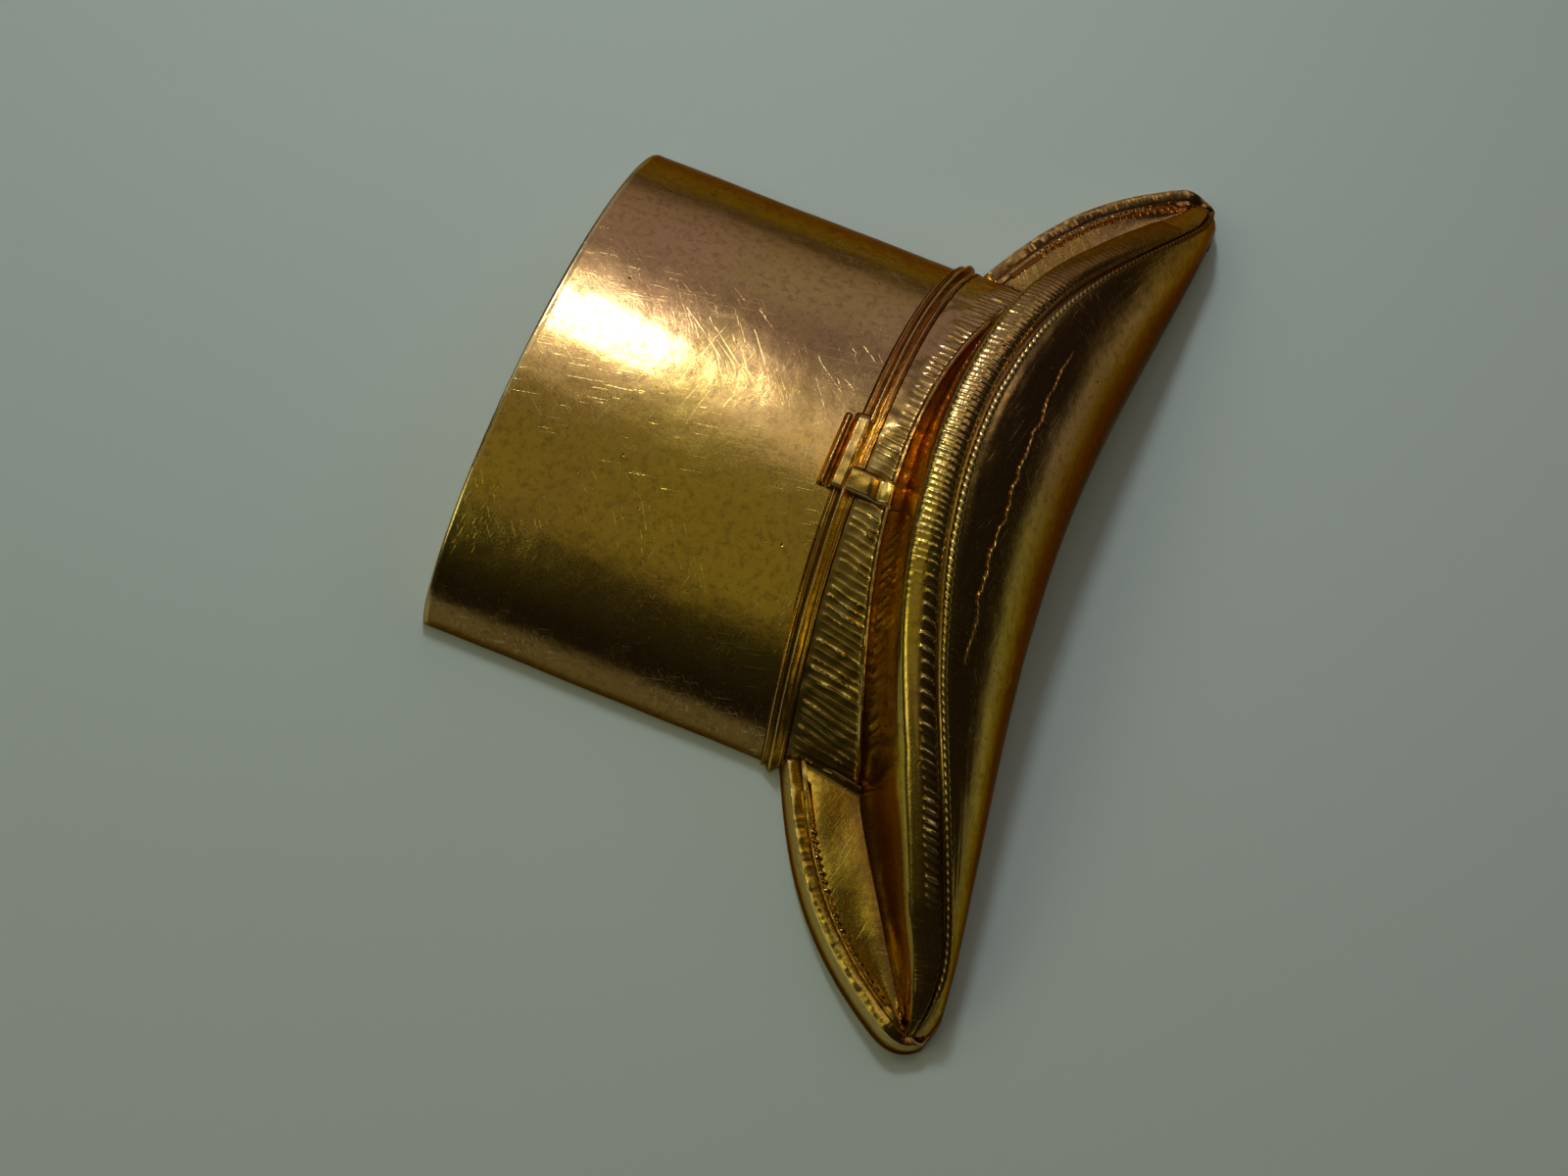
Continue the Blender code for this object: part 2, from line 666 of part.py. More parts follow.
def rod(name, radius, length, axis, segments=24):
    """A round bar centred on the origin along X or Y."""
    work = bmesh.new()
    bmesh.ops.create_cone(work, cap_ends=True, segments=segments, radius1=radius, radius2=radius,
                          depth=length)
    turn = (0.0, 1.0, 0.0) if axis == "X" else (1.0, 0.0, 0.0)
    bmesh.ops.rotate(work, cent=(0, 0, 0), matrix=Matrix.Rotation(math.pi / 2, 3, turn),
                     verts=work.verts)
    return local_mesh(name, work)


def boolean(target, tool_mesh, operation):
    """Applies one exact Boolean to the object and removes the tool."""
    tool = bpy.data.objects.new("tool", tool_mesh)
    tool.hide_render = True
    tool.display_type = "WIRE"
    tool.location = target.location
    bpy.context.scene.collection.objects.link(tool)
    step = target.modifiers.new("step", "BOOLEAN")
    step.operation = operation
    step.solver = "EXACT"
    step.object = tool
    bpy.context.view_layer.update()
    evaluated = target.evaluated_get(bpy.context.evaluated_depsgraph_get())
    result = bpy.data.meshes.new_from_object(evaluated)
    target.modifiers.clear()
    target.data = result
    bpy.data.objects.remove(tool, do_unlink=True)


def at(obj, x, y, z):
    """Puts a piece drawn round its own origin at its place on the badge."""
    obj.location = (x * MM, (y + ORIGIN_SHIFT_Y) * MM, z * MM)
    return obj


def build_back_bar():
    """The flat strip bridging the hollow crown; its bevelled ends follow the crown's inside."""
    top = BAR_UNDERSIDE_Z + BAR_THICKNESS
    outline = [(-8.25, BAR_UNDERSIDE_Z), (8.25, BAR_UNDERSIDE_Z), (7.35, top), (-7.35, top)]
    mesh = plate("back_bar", outline, BAR_WIDTH, "Y")
    at(place("back_bar", mesh, DARK_BRASS, 0.4), 0.0, PIN_Y, 0.0)


def build_hinge_joint():
    """A foot with two ears; the rivet passes through both ears."""
    foot_top = BAR_UNDERSIDE_Z - SEAM - PIN_Z
    foot_low = foot_top - FOOT_THICKNESS
    reach = 0.95
    outline = [(1.5, foot_top), (-1.5, foot_top), (-1.5, foot_low), (-reach, foot_low)]
    outline += arc((0.0, 0.0), reach, 180.0, 360.0, 13)
    outline += [(reach, foot_low), (1.5, foot_low)]
    width = EAR_GAP + 2.0 * EAR_THICKNESS
    joint = place("hinge_joint", plate("hinge_joint", outline, width, "Y"), DARK_BRASS, 0.38)
    at(joint, HINGE_X, PIN_Y, PIN_Z)
    slot = bmesh.new()
    box(slot, (-2.0, -0.5 * EAR_GAP, -2.0), (2.0, 0.5 * EAR_GAP, EYE_RADIUS + 0.08))
    boolean(joint, local_mesh("slot", slot), "DIFFERENCE")
    bore = rod("bore", RIVET_RADIUS + RIVET_CLEARANCE, 2.0 * width, "Y")
    boolean(joint, bore, "DIFFERENCE")


def build_hinge_rivet():
    """A shouldered rivet: its two heads stand just outside the ears."""
    half = 0.5 * EAR_GAP + EAR_THICKNESS + SEAM
    head = 0.22
    profile = [(0.0, -half - head), (0.45, -half - head), (0.58, -half - 0.5 * head), (0.58, -half),
               (RIVET_RADIUS, -half), (RIVET_RADIUS, half), (0.58, half),
               (0.58, half + 0.5 * head), (0.45, half + head), (0.0, half + head)]
    rivet = place("hinge_rivet", turned("hinge_rivet", profile, 24), PIN_STEEL, 0.3)
    rivet.rotation_euler = (-math.pi / 2, 0.0, 0.0)
    at(rivet, HINGE_X, PIN_Y, PIN_Z)


def turned(name, profile, segments):
    """A solid of revolution about Z from (radius, height) points that start and end on the axis."""
    work = bmesh.new()
    rings = []
    for radius, height in profile:
        if radius == 0.0:
            rings.append([work.verts.new((0.0, 0.0, height))])
            continue
        ring = [work.verts.new((radius * math.cos(a), radius * math.sin(a), height))
                for a in np.linspace(0.0, 2.0 * math.pi, segments, endpoint=False)]
        rings.append(ring)
    for low, high in zip(rings, rings[1:]):
        for i in range(segments):
            k = (i + 1) % segments
            if len(low) == 1:
                work.faces.new((low[0], high[i], high[k]))
            elif len(high) == 1:
                work.faces.new((low[k], low[i], high[0]))
            else:
                work.faces.new((low[i], high[i], high[k], low[k]))
    return local_mesh(name, work)


def build_pin_stem():
    """The pin: an eye that turns on the rivet and a wire drawn out to a point."""
    eye = plate("pin_stem", arc((0.0, 0.0), EYE_RADIUS, 0.0, 345.0, 24), EYE_WIDTH, "Y")
    stem = place("pin_stem", eye, PIN_STEEL, 0.25)
    at(stem, HINGE_X, PIN_Y, PIN_Z)
    boolean(stem, rod("bore", RIVET_RADIUS + RIVET_CLEARANCE, 2.0 * EYE_WIDTH, "Y"), "DIFFERENCE")
    reach = STEM_POINT_X - HINGE_X
    start = 0.58
    profile = [(0.0, start), (STEM_RADIUS, start), (STEM_RADIUS, reach - STEM_TAPER),
               (0.8 * STEM_RADIUS, reach - 0.55 * STEM_TAPER), (0.06, reach - 0.05), (0.0, reach)]
    wire = turned("wire", profile, 16)
    wire.transform(Matrix.Rotation(math.pi / 2, 4, "Y"))
    boolean(stem, wire, "UNION")


def slotted_ring(outer_radius, inner_radius, slot):
    """Outline of a ring that is open downwards by a parallel-sided slot."""
    half_outer = math.degrees(math.asin(0.5 * slot / outer_radius))
    half_inner = math.degrees(math.asin(0.5 * slot / inner_radius))
    outline = arc((0.0, 0.0), outer_radius, -90.0 + half_outer, 270.0 - half_outer, 29)
    outline += arc((0.0, 0.0), inner_radius, 270.0 - half_inner, -90.0 + half_inner, 21)
    return outline


def build_catch_base():
    """The catch's foot and its two slotted cheeks, with a window between them for the lever."""
    cheek_span = 1.8
    housing = plate("catch_base", slotted_ring(HOUSING_OUTER_RADIUS, HOUSING_BORE, CATCH_SLOT),
                    cheek_span, "X")
    base = place("catch_base", housing, DARK_BRASS, 0.38)
    at(base, CATCH_X, PIN_Y, PIN_Z)
    window = bmesh.new()
    box(window, (-0.42, -2.0, -2.0), (0.42, 2.0, 0.87))
    boolean(base, local_mesh("window", window), "DIFFERENCE")
    foot_top = BAR_UNDERSIDE_Z - SEAM - PIN_Z
    foot = bmesh.new()
    box(foot, (-1.3, -1.35, HOUSING_BORE + 0.04), (1.3, 1.35, foot_top))
    boolean(base, local_mesh("foot", foot), "UNION")


def build_catch_sleeve():
    """The turning sleeve that locks the pin, with its thumb lever."""
    ring = plate("catch_sleeve", slotted_ring(SLEEVE_RADIUS, SLEEVE_BORE, CATCH_SLOT), 2.1, "X")
    sleeve = place("catch_sleeve", ring, BRASS, 0.3)
    at(sleeve, CATCH_X, PIN_Y, PIN_Z)
    lever = bmesh.new()
    box(lever, (-0.28, 0.62, -0.14), (0.28, 1.7, 0.14))
    bmesh.ops.rotate(lever, cent=(0, 0, 0), matrix=Matrix.Rotation(math.radians(-20.0), 3, "X"),
                     verts=lever.verts)
    boolean(sleeve, local_mesh("lever", lever), "UNION")


def main():
    clear_scene()
    build_crown()
    build_top_plate()
    build_welt()
    build_ribbon()
    build_bow()
    build_front_shell()
    build_brim_trim()
    for side, word in ((1.0, "right"), (-1.0, "left")):
        build_pan(side, "lobe_pan_" + word)
        build_edge_roll(side, "lobe_edge_roll_" + word)
        build_beading(side, "lobe_beading_" + word)
    build_back_bar()
    build_hinge_joint()
    build_hinge_rivet()
    build_pin_stem()
    build_catch_base()
    build_catch_sleeve()


main()
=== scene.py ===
"""Looks of the top-hat cap badge: struck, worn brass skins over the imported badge, its pin and catch.

Lengths are in millimetres, in the badge's own frame, and MM turns them into metres. The badge lies
on its back: +Z comes out of its face and +Y points to the top of the hat. The form laws below are
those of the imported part, except where a comment says otherwise. The skins add the struck relief,
the wear and the tarnish.
"""

import math

import bpy
import numpy as np
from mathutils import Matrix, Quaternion, Vector


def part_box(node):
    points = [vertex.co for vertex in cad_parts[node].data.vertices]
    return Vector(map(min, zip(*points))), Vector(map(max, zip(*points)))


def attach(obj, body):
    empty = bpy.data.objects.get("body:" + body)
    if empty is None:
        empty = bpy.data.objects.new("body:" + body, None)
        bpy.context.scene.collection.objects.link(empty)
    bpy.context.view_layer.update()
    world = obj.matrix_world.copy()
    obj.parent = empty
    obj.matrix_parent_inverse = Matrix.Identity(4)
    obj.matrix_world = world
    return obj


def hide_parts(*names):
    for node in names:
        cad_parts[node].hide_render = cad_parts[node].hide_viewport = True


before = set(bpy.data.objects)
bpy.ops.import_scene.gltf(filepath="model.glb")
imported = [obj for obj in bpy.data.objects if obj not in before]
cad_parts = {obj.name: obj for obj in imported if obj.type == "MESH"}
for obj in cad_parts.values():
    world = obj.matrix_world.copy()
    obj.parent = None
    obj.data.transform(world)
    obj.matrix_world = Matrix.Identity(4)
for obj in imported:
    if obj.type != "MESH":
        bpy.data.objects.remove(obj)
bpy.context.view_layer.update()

MM = 0.001
crown_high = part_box("crown_shell")[1] / MM

# -------- sizes of the form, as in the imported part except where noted

CROWN_HALF_WIDTH = crown_high.x
CROWN_HEIGHT = crown_high.z
CROWN_FULLNESS = 0.58         # 0.5 is a plain ellipse
CROWN_TOP_Y = 12.13           # in the hat's own y, which SHIFT_Y turns into the badge's y
SHIFT_Y = crown_high.y - CROWN_TOP_Y
SHEET = 0.45

WELT_Y = -0.85
WELT_DROOP = 1.25
WELT_DROOP_POWER = 2.4
WELT_HALF_WIDTH = 0.46
RIBBON_LOWER_Y = -2.45
RIBBON_DROOP = 3.05
BAND_FOOT = 1.0               # degrees of arc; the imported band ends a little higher
BOW_LEFT_X = -3.0
BOW_RIGHT_X = 0.35
BOW_BAR_TOP_Y = 0.18
BOW_TAIL_WIDTH = 1.2
BOW_HEIGHT = 0.72

HALF_LENGTH = 20.0
ROLL_HEIGHT = 8.54
ROLL_TIP_HEIGHT = 1.2
ROLL_SPAN = 20.2
ROLL_ARCH_POWER = 2.13
ROLL_FADE = 1.4
FRONT_RIM_Y = -9.38
FRONT_RIM_DROOP = 1.8
FRONT_RIM_POWER = 1.75
ROLL_OVERHANG = 4.5
ROLL_OVERHANG_SPAN = 18.8
ROLL_OVERHANG_POWER = 1.36
CREASE_START_X = 11.6
CREASE_SLOPE = 0.605
CREASE_LIFT = 0.2
CREASE_LIFT_LENGTH = 0.5
CORD_DIP = 0.13
CORD_DIP_X = 13.0
CORD_DIP_SPREAD = 4.0
CORD_LOWEST_Y = -10.52
CORD_LEVELLING = 0.12
ROLL_REACH = 0.9              # crest of the roll behind the cord, at the middle
ROLL_REACH_SIDES = 0.3        # and how much further back it runs on both sides
ROLL_REACH_END_X = 20.6
ROLL_REACH_FADE = 4.6
PAN_FLOOR = 0.85
BINDING_HALF_LENGTH = 16.0
NOSE_START_X = 18.2           # where the front shell begins to close into the rounded tip
NOSE_END_X = 19.86
NOSE_Y = -9.95

LOBE_START_X = 11.62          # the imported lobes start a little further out
LOBE_START_Y = -1.61
LOBE_CURVE_END_X = 19.6
LOBE_TIP_CORNER = (20.36, -10.02)
LOBE_TIP_END = (19.50, -10.82)
LOBE_RIM_END_X = 17.9         # where the edge roll has run out into the front rim
LOBE_RIM_MARGIN = 0.05
EDGE_ROLL_HEIGHT = 1.3
EDGE_ROLL_WIDTH = 0.88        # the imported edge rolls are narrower, most of all at the tip
EDGE_ROLL_TIP_WIDTH = 0.84

CORD_HALF_LENGTH = 18.2
CORD_RADIUS = 0.165
CORD_END_RADIUS = 0.12
CORD_TWIST = 0.62             # one full turn of the two strands
FINE_CORD_RADIUS = 0.062
FINE_CORD_TWIST = 0.60
FINE_CORD_ENDS = (-8.0, 5.6)
FINE_CORD_Y = -6.59
FINE_CORD_DROOP = 3.6

STATION_RIB_TOP = 2.75
STATION_RIB_LOW = 6.0
STATION_GROOVE = 6.4
STATION_CORD = 7.0
STATION_RIM = 13.0

# -------- sizes of the struck relief

CROWN_WAVE = 0.012            # dents left by the press, and the length between them
CROWN_WAVE_PITCH = 6.0
RIB_PITCH = 0.335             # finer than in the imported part
RIB_HEIGHT = 0.085
RIBBON_BEAD_HEIGHT = 0.15
BOSS_PITCH = 0.36
BOSS_HEIGHT = 0.17
BOSS_STATION = 0.95
GROOVE_DEPTH = 0.13
BINDING_PITCH = 0.25
BINDING_RIDGE_HEIGHT = 0.048
DASH_HEIGHT = 0.085
WIDE_DASH_PITCH = 0.46
CLOSE_DASH_PITCH = 0.27
WRINKLE_PITCH = 0.27
WRINKLE_HEIGHT = 0.012
STITCH_PITCH = 0.335
STITCH_HEIGHT = 0.25
PAN_SWELL = 0.22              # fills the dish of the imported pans

FINE = 0.045                  # grid spacing on ribbed surfaces
PLAIN = 0.11                  # grid spacing on smooth surfaces


# -------- small helpers

def smooth_step(value, low, high):
    t = np.clip((value - low) / (high - low), 0.0, 1.0)
    return t * t * (3.0 - 2.0 * t)


def bell(value, centre, spread):
    return np.exp(-((value - centre) / spread) ** 2)


def wander(along, pitch, seed):
    """Smooth random numbers from -1 to 1 along a line, with a new value about every pitch."""
    values = np.random.RandomState(seed).uniform(-1.0, 1.0, 512)
    place = np.asarray(along) / pitch + 256.0
    low = np.clip(np.floor(place).astype(int), 0, 510)
    t = np.clip(place - low, 0.0, 1.0)
    t = t * t * (3.0 - 2.0 * t)
    return values[low] * (1.0 - t) + values[low + 1] * t


def waves(u, v, pitch, seed):
    """Smooth random numbers from -1 to 1 over a surface."""
    random = np.random.RandomState(seed)
    total = 0.0
    for _ in range(9):
        angle = random.uniform(0.0, math.pi)
        stretch = random.uniform(0.6, 1.5)
        phase = random.uniform(0.0, 2.0 * math.pi)
        across = u * math.cos(angle) + v * math.sin(angle)
        total = total + np.sin(2.0 * math.pi * across / (pitch * stretch) + phase)
    return total / 4.0


def comb(along, pitch, jitter, seed):
    """Irregular teeth along a line: the place inside a tooth, from -0.5 to 0.5, and its number."""
    random = np.random.RandomState(seed)
    steps = pitch * (1.0 + jitter * random.uniform(-1.0, 1.0, 200))
    edges = np.cumsum(steps)
    edges -= edges[100]
    phase = np.interp(along, edges, np.arange(200.0))
    tooth = np.round(phase)
    return phase - tooth, tooth.astype(int)


def tooth_value(tooth, low, high, seed):
    """A random number from low to high for each tooth of a comb."""
    values = np.random.RandomState(seed).uniform(low, high, 201)
    return values[np.clip(tooth, 0, 200)]


def box_blur(values, cells, axis):
    """Running mean over 2 * cells + 1 samples."""
    pad = [(0, 0)] * values.ndim
    pad[axis] = (cells + 1, cells)
    sums = np.cumsum(np.pad(values, pad, mode="edge"), axis=axis)
    width = 2 * cells + 1
    count = values.shape[axis]
    high = np.take(sums, np.arange(width, width + count), axis=axis)
    low = np.take(sums, np.arange(0, count), axis=axis)
    return (high - low) / width


def hollows(rise, cells, depth):
    """1 in the hollows of a relief and -1 on its crests, by comparing it with its own blur."""
    soft = box_blur(box_blur(rise, cells[0], 0), cells[1], 1)
    return np.clip((soft - rise) / depth, -1.0, 1.0)


# -------- meshes

def write_marks(mesh, name, values, shape):
    """Stores one number per point of the outer grid; the points of the inner grid get 0."""
    padded = np.zeros(shape, np.float32)
    padded[:, :values.shape[1]] = values
    mesh.attributes.new(name, "FLOAT", "POINT").data.foreach_set("value", padded.ravel())


def new_object(name, data):
    made = bpy.data.objects.new(name, data)
    bpy.context.scene.collection.objects.link(made)
    return made


def ring_solid(name, rings, hollow, stain_and_shade=None):
    """A closed solid through rings of points, as (rings, points, 3), with capped ends. hollow is -1 on
    crests and 1 in hollows. The last argument is 1 where the colour is darkened to brown, by stains in
    some pieces and by painted shade in others."""
    count, size, _ = rings.shape
    points = (rings.reshape(-1, 3) + (0.0, SHIFT_Y, 0.0)) * MM
    here = np.arange(count * size).reshape(count, size)
    there = np.roll(here, -1, axis=1)
    quads = np.stack((here[:-1], here[1:], there[1:], there[:-1]), axis=-1).reshape(-1, 4)
    faces = quads.tolist() + [here[0].tolist(), here[-1][::-1].tolist()]
    mesh = bpy.data.meshes.new(name)
    mesh.from_pydata(points.tolist(), [], faces)
    write_marks(mesh, "hollow", hollow, (count, size))
    if stain_and_shade is not None:
        write_marks(mesh, "stain_and_shade", stain_and_shade, (count, size))
    mesh.validate()
    turn_outwards(mesh, points, quads)
    mesh.shade_smooth()
    mesh.set_sharp_from_angle(angle=math.radians(65.0))
    return new_object(name, mesh)


def turn_outwards(mesh, points, quads):
    """Flips the faces of a solid whose signed volume is negative."""
    a, b, c, d = (points[quads[:, k]] for k in range(4))
    volume = np.einsum("ij,ij->", a, np.cross(b, c)) + np.einsum("ij,ij->", a, np.cross(c, d))
    if volume < 0.0:
        mesh.flip_normals()


def sheet_solid(name, outer, inner, hollow, stain_and_shade=None):
    """A closed solid between an outer and an inner grid with the same number of columns."""
    return ring_solid(name, np.concatenate((outer, inner[:, ::-1]), axis=1), hollow, stain_and_shade)


def settle(piece, material, body, slot_name, *nodes):
    """Gives a finished piece its material and body, and hides the CAD nodes it stands for.
    slot_name is not used.
    """
    piece.data.materials.append(material)
    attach(piece, body)
    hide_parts(*nodes)
    return piece


# -------- crown surface

def crown_frame(angle):
    """x, z and outward direction round the crown: angle 0 is its +X long edge, pi its -X one."""
    power = 2.0 * CROWN_FULLNESS
    sine = np.maximum(np.sin(angle), 0.0)
    x = CROWN_HALF_WIDTH * np.cos(angle)
    z = CROWN_HEIGHT * sine ** power
    normal_x = CROWN_HEIGHT * power * np.maximum(sine, 1e-6) ** (power - 1.0) * np.cos(angle)
    normal_z = CROWN_HALF_WIDTH * sine
    size = np.hypot(normal_x, normal_z)
    return x, z, normal_x / size, normal_z / size


def crown_height(x):
    inside = np.maximum(1.0 - (x / CROWN_HALF_WIDTH) ** 2, 0.0)
    return CROWN_HEIGHT * inside ** CROWN_FULLNESS


def even_angles(spacing, from_x=CROWN_HALF_WIDTH, to_x=-CROWN_HALF_WIDTH, foot=0.0):
    """Angles evenly spaced along the crown's arc, and the arc length of each from the middle."""
    start = max(math.acos(np.clip(from_x / CROWN_HALF_WIDTH, -1, 1)), math.radians(foot))
    end = min(math.acos(np.clip(to_x / CROWN_HALF_WIDTH, -1, 1)), math.pi - math.radians(foot))
    fine = np.linspace(start, end, 4001)
    x, z, _, _ = crown_frame(fine)
    length = np.concatenate(((0.0,), np.cumsum(np.hypot(np.diff(x), np.diff(z)))))
    middle = np.interp(math.pi / 2, fine, length)
    even = np.linspace(0.0, length[-1], int(length[-1] / spacing) + 1)
    return np.interp(even, length, fine), middle - even


def on_crown(angle, y, rise):
    """Points raised from the crown: angle is (columns,), y and rise are (columns, rows)."""
    x, z, normal_x, normal_z = (part[:, None] for part in crown_frame(angle))
    points = np.stack((x + normal_x * rise, y + 0.0 * rise, z + normal_z * rise), axis=-1)
    points[..., 2] = np.maximum(points[..., 2], 0.0)
    return points


def welt_line(x):
    return WELT_Y - WELT_DROOP * np.abs(x / CROWN_HALF_WIDTH) ** WELT_DROOP_POWER


def ribbon_lower_line(x):
    return RIBBON_LOWER_Y - RIBBON_DROOP * (x / CROWN_HALF_WIDTH) ** 2


# -------- brim surface

def cord_height(x):
    inside = np.maximum(1.0 - np.abs(x / ROLL_SPAN) ** ROLL_ARCH_POWER, 0.0)
    return ROLL_TIP_HEIGHT + (ROLL_HEIGHT - ROLL_TIP_HEIGHT) * inside ** ROLL_FADE


def front_rim_line(x):
    u = np.minimum((x / HALF_LENGTH) ** 2, 1.0)
    return FRONT_RIM_Y - FRONT_RIM_DROOP * (1.0 - (1.0 - u) ** FRONT_RIM_POWER)


def cord_line(x):
    inside = np.maximum(1.0 - (x / ROLL_OVERHANG_SPAN) ** 2, 0.0)
    y = front_rim_line(x) + 0.15 + ROLL_OVERHANG * inside ** ROLL_OVERHANG_POWER
    y = y - CORD_DIP * bell(np.abs(x), CORD_DIP_X, CORD_DIP_SPREAD)
    return CORD_LOWEST_Y + CORD_LEVELLING * np.logaddexp(0.0, (y - CORD_LOWEST_Y) / CORD_LEVELLING)


def shell_edge_line(x):
    """Upper edge of the front shell: the ribbon's lower edge, then the crease of the lobes."""
    out = np.maximum(np.abs(x) - CREASE_START_X, 0.0)
    lift = CREASE_LIFT * (1.0 - np.exp(-out / CREASE_LIFT_LENGTH))
    return ribbon_lower_line(np.minimum(np.abs(x), CREASE_START_X)) + lift - CREASE_SLOPE * out


def nose_factor(x):
    """1 along the brim, falling to 0 at its rounded tips."""
    t = np.clip((np.abs(x) - NOSE_START_X) / (NOSE_END_X - NOSE_START_X), 0.0, 1.0)
    return np.sqrt(1.0 - 0.9975 * t ** 1.5)


# shares of the way from the hat band to the crest, across and up
CLIMB = ((0.28, 0.22), (0.47, 0.72), (0.67, 0.95))
# shares of the roll's reach behind the cord, and height as a share of the cord's
CREST_HEIGHT = 1.04
ROLL = ((0.60, 1.032), (0.24, 1.005), (0.0, 0.98))
# shares of the way from the cord to the rim, and height as a share of the cord's
WALL = ((0.16, 0.94), (0.40, 0.855), (0.64, 0.735), (0.84, 0.56), (0.96, 0.33))


def brim_stations(x):
    """Cross-sections of the brim at x, from the hat band over the roll to the rim: (columns, 14, 2)."""
    nose = nose_factor(x)
    edge_y = NOSE_Y + (shell_edge_line(x) - NOSE_Y) * nose
    edge_z = np.maximum(crown_height(x), PAN_FLOOR) * nose
    top_z = cord_height(x) * nose
    cord_y = NOSE_Y + (cord_line(x) - NOSE_Y) * nose
    rim_y = NOSE_Y + (front_rim_line(x) - NOSE_Y) * nose
    reach = ROLL_REACH + ROLL_REACH_SIDES * smooth_step(np.abs(x), 2.0, 8.0)
    reach = reach * np.minimum(1.0, (ROLL_REACH_END_X - np.abs(x)) / ROLL_REACH_FADE) * nose
    crest_y = cord_y + reach
    climb_y = crest_y - edge_y
    climb_z = CREST_HEIGHT * top_z - edge_z
    sections = [(edge_y, edge_z)]
    sections += [(edge_y + across * climb_y, edge_z + up * climb_z) for across, up in CLIMB]
    sections += [(crest_y, CREST_HEIGHT * top_z)]
    sections += [(cord_y + across * reach, up * top_z) for across, up in ROLL]
    sections += [(cord_y + across * (rim_y - cord_y), up * top_z) for across, up in WALL]
    sections += [(rim_y, 0.0 * top_z)]
    return np.array(sections).transpose(2, 0, 1)


def brim_surface(x, v):
    """The brim's outer face at columns x and stations v (columns, rows), smooth between stations."""
    sections = brim_stations(x)
    last = sections.shape[1] - 1
    k = np.clip(np.floor(v).astype(int), 0, last - 1)
    t = (v - k)[..., None]
    column = np.arange(len(x))[:, None]
    before = sections[column, np.maximum(k - 1, 0)]
    here = sections[column, k]
    there = sections[column, k + 1]
    after = sections[column, np.minimum(k + 2, last)]
    yz = 0.5 * (2.0 * here + (there - before) * t
                + (2.0 * before - 5.0 * here + 4.0 * there - after) * t ** 2
                + (3.0 * here - before - 3.0 * there + after) * t ** 3)
    return np.concatenate((np.broadcast_to(x[:, None, None], (*v.shape, 1)), yz), axis=-1)


def brim_normals(x, v):
    step = 0.02
    along = brim_surface(x + step, v) - brim_surface(x - step, v)
    across = (brim_surface(x, np.minimum(v + step, STATION_RIM))
              - brim_surface(x, np.maximum(v - step, 0.0)))
    normals = np.cross(across, along)
    return normals / np.linalg.norm(normals, axis=-1, keepdims=True)


def on_brim(x, v, rise):
    """Points raised from the brim by rise, along its normal; all at or above the back plane."""
    points = brim_surface(x, v) + brim_normals(x, v) * np.asarray(rise)[..., None]
    points[..., 2] = np.maximum(points[..., 2], 0.0)
    return points


def fine_cord_stations(x):
    """Stations whose y is the fine cord's line, found by halving."""
    target = FINE_CORD_Y - FINE_CORD_DROOP * (x / HALF_LENGTH) ** 2
    low = np.full(len(x), STATION_CORD + 0.9)
    high = np.full(len(x), STATION_RIM)
    for _ in range(30):
        middle = 0.5 * (low + high)
        above = brim_surface(x, middle[:, None])[:, 0, 1] > target
        low = np.where(above, middle, low)
        high = np.where(above, high, middle)
    return low


# -------- materials

COPPER = (0.70, 0.38, 0.16, 1.0)
GOLD = (0.74, 0.51, 0.07, 1.0)
TARNISH = (0.17, 0.095, 0.035, 1.0)
WORN_AND_SHEEN = (0.88, 0.68, 0.32, 1.0)
GRIME = (0.05, 0.032, 0.014, 1.0)
BROWN = (0.34, 0.175, 0.055, 1.0)
EDGE_TINT = (0.42, 0.23, 0.09, 1.0)


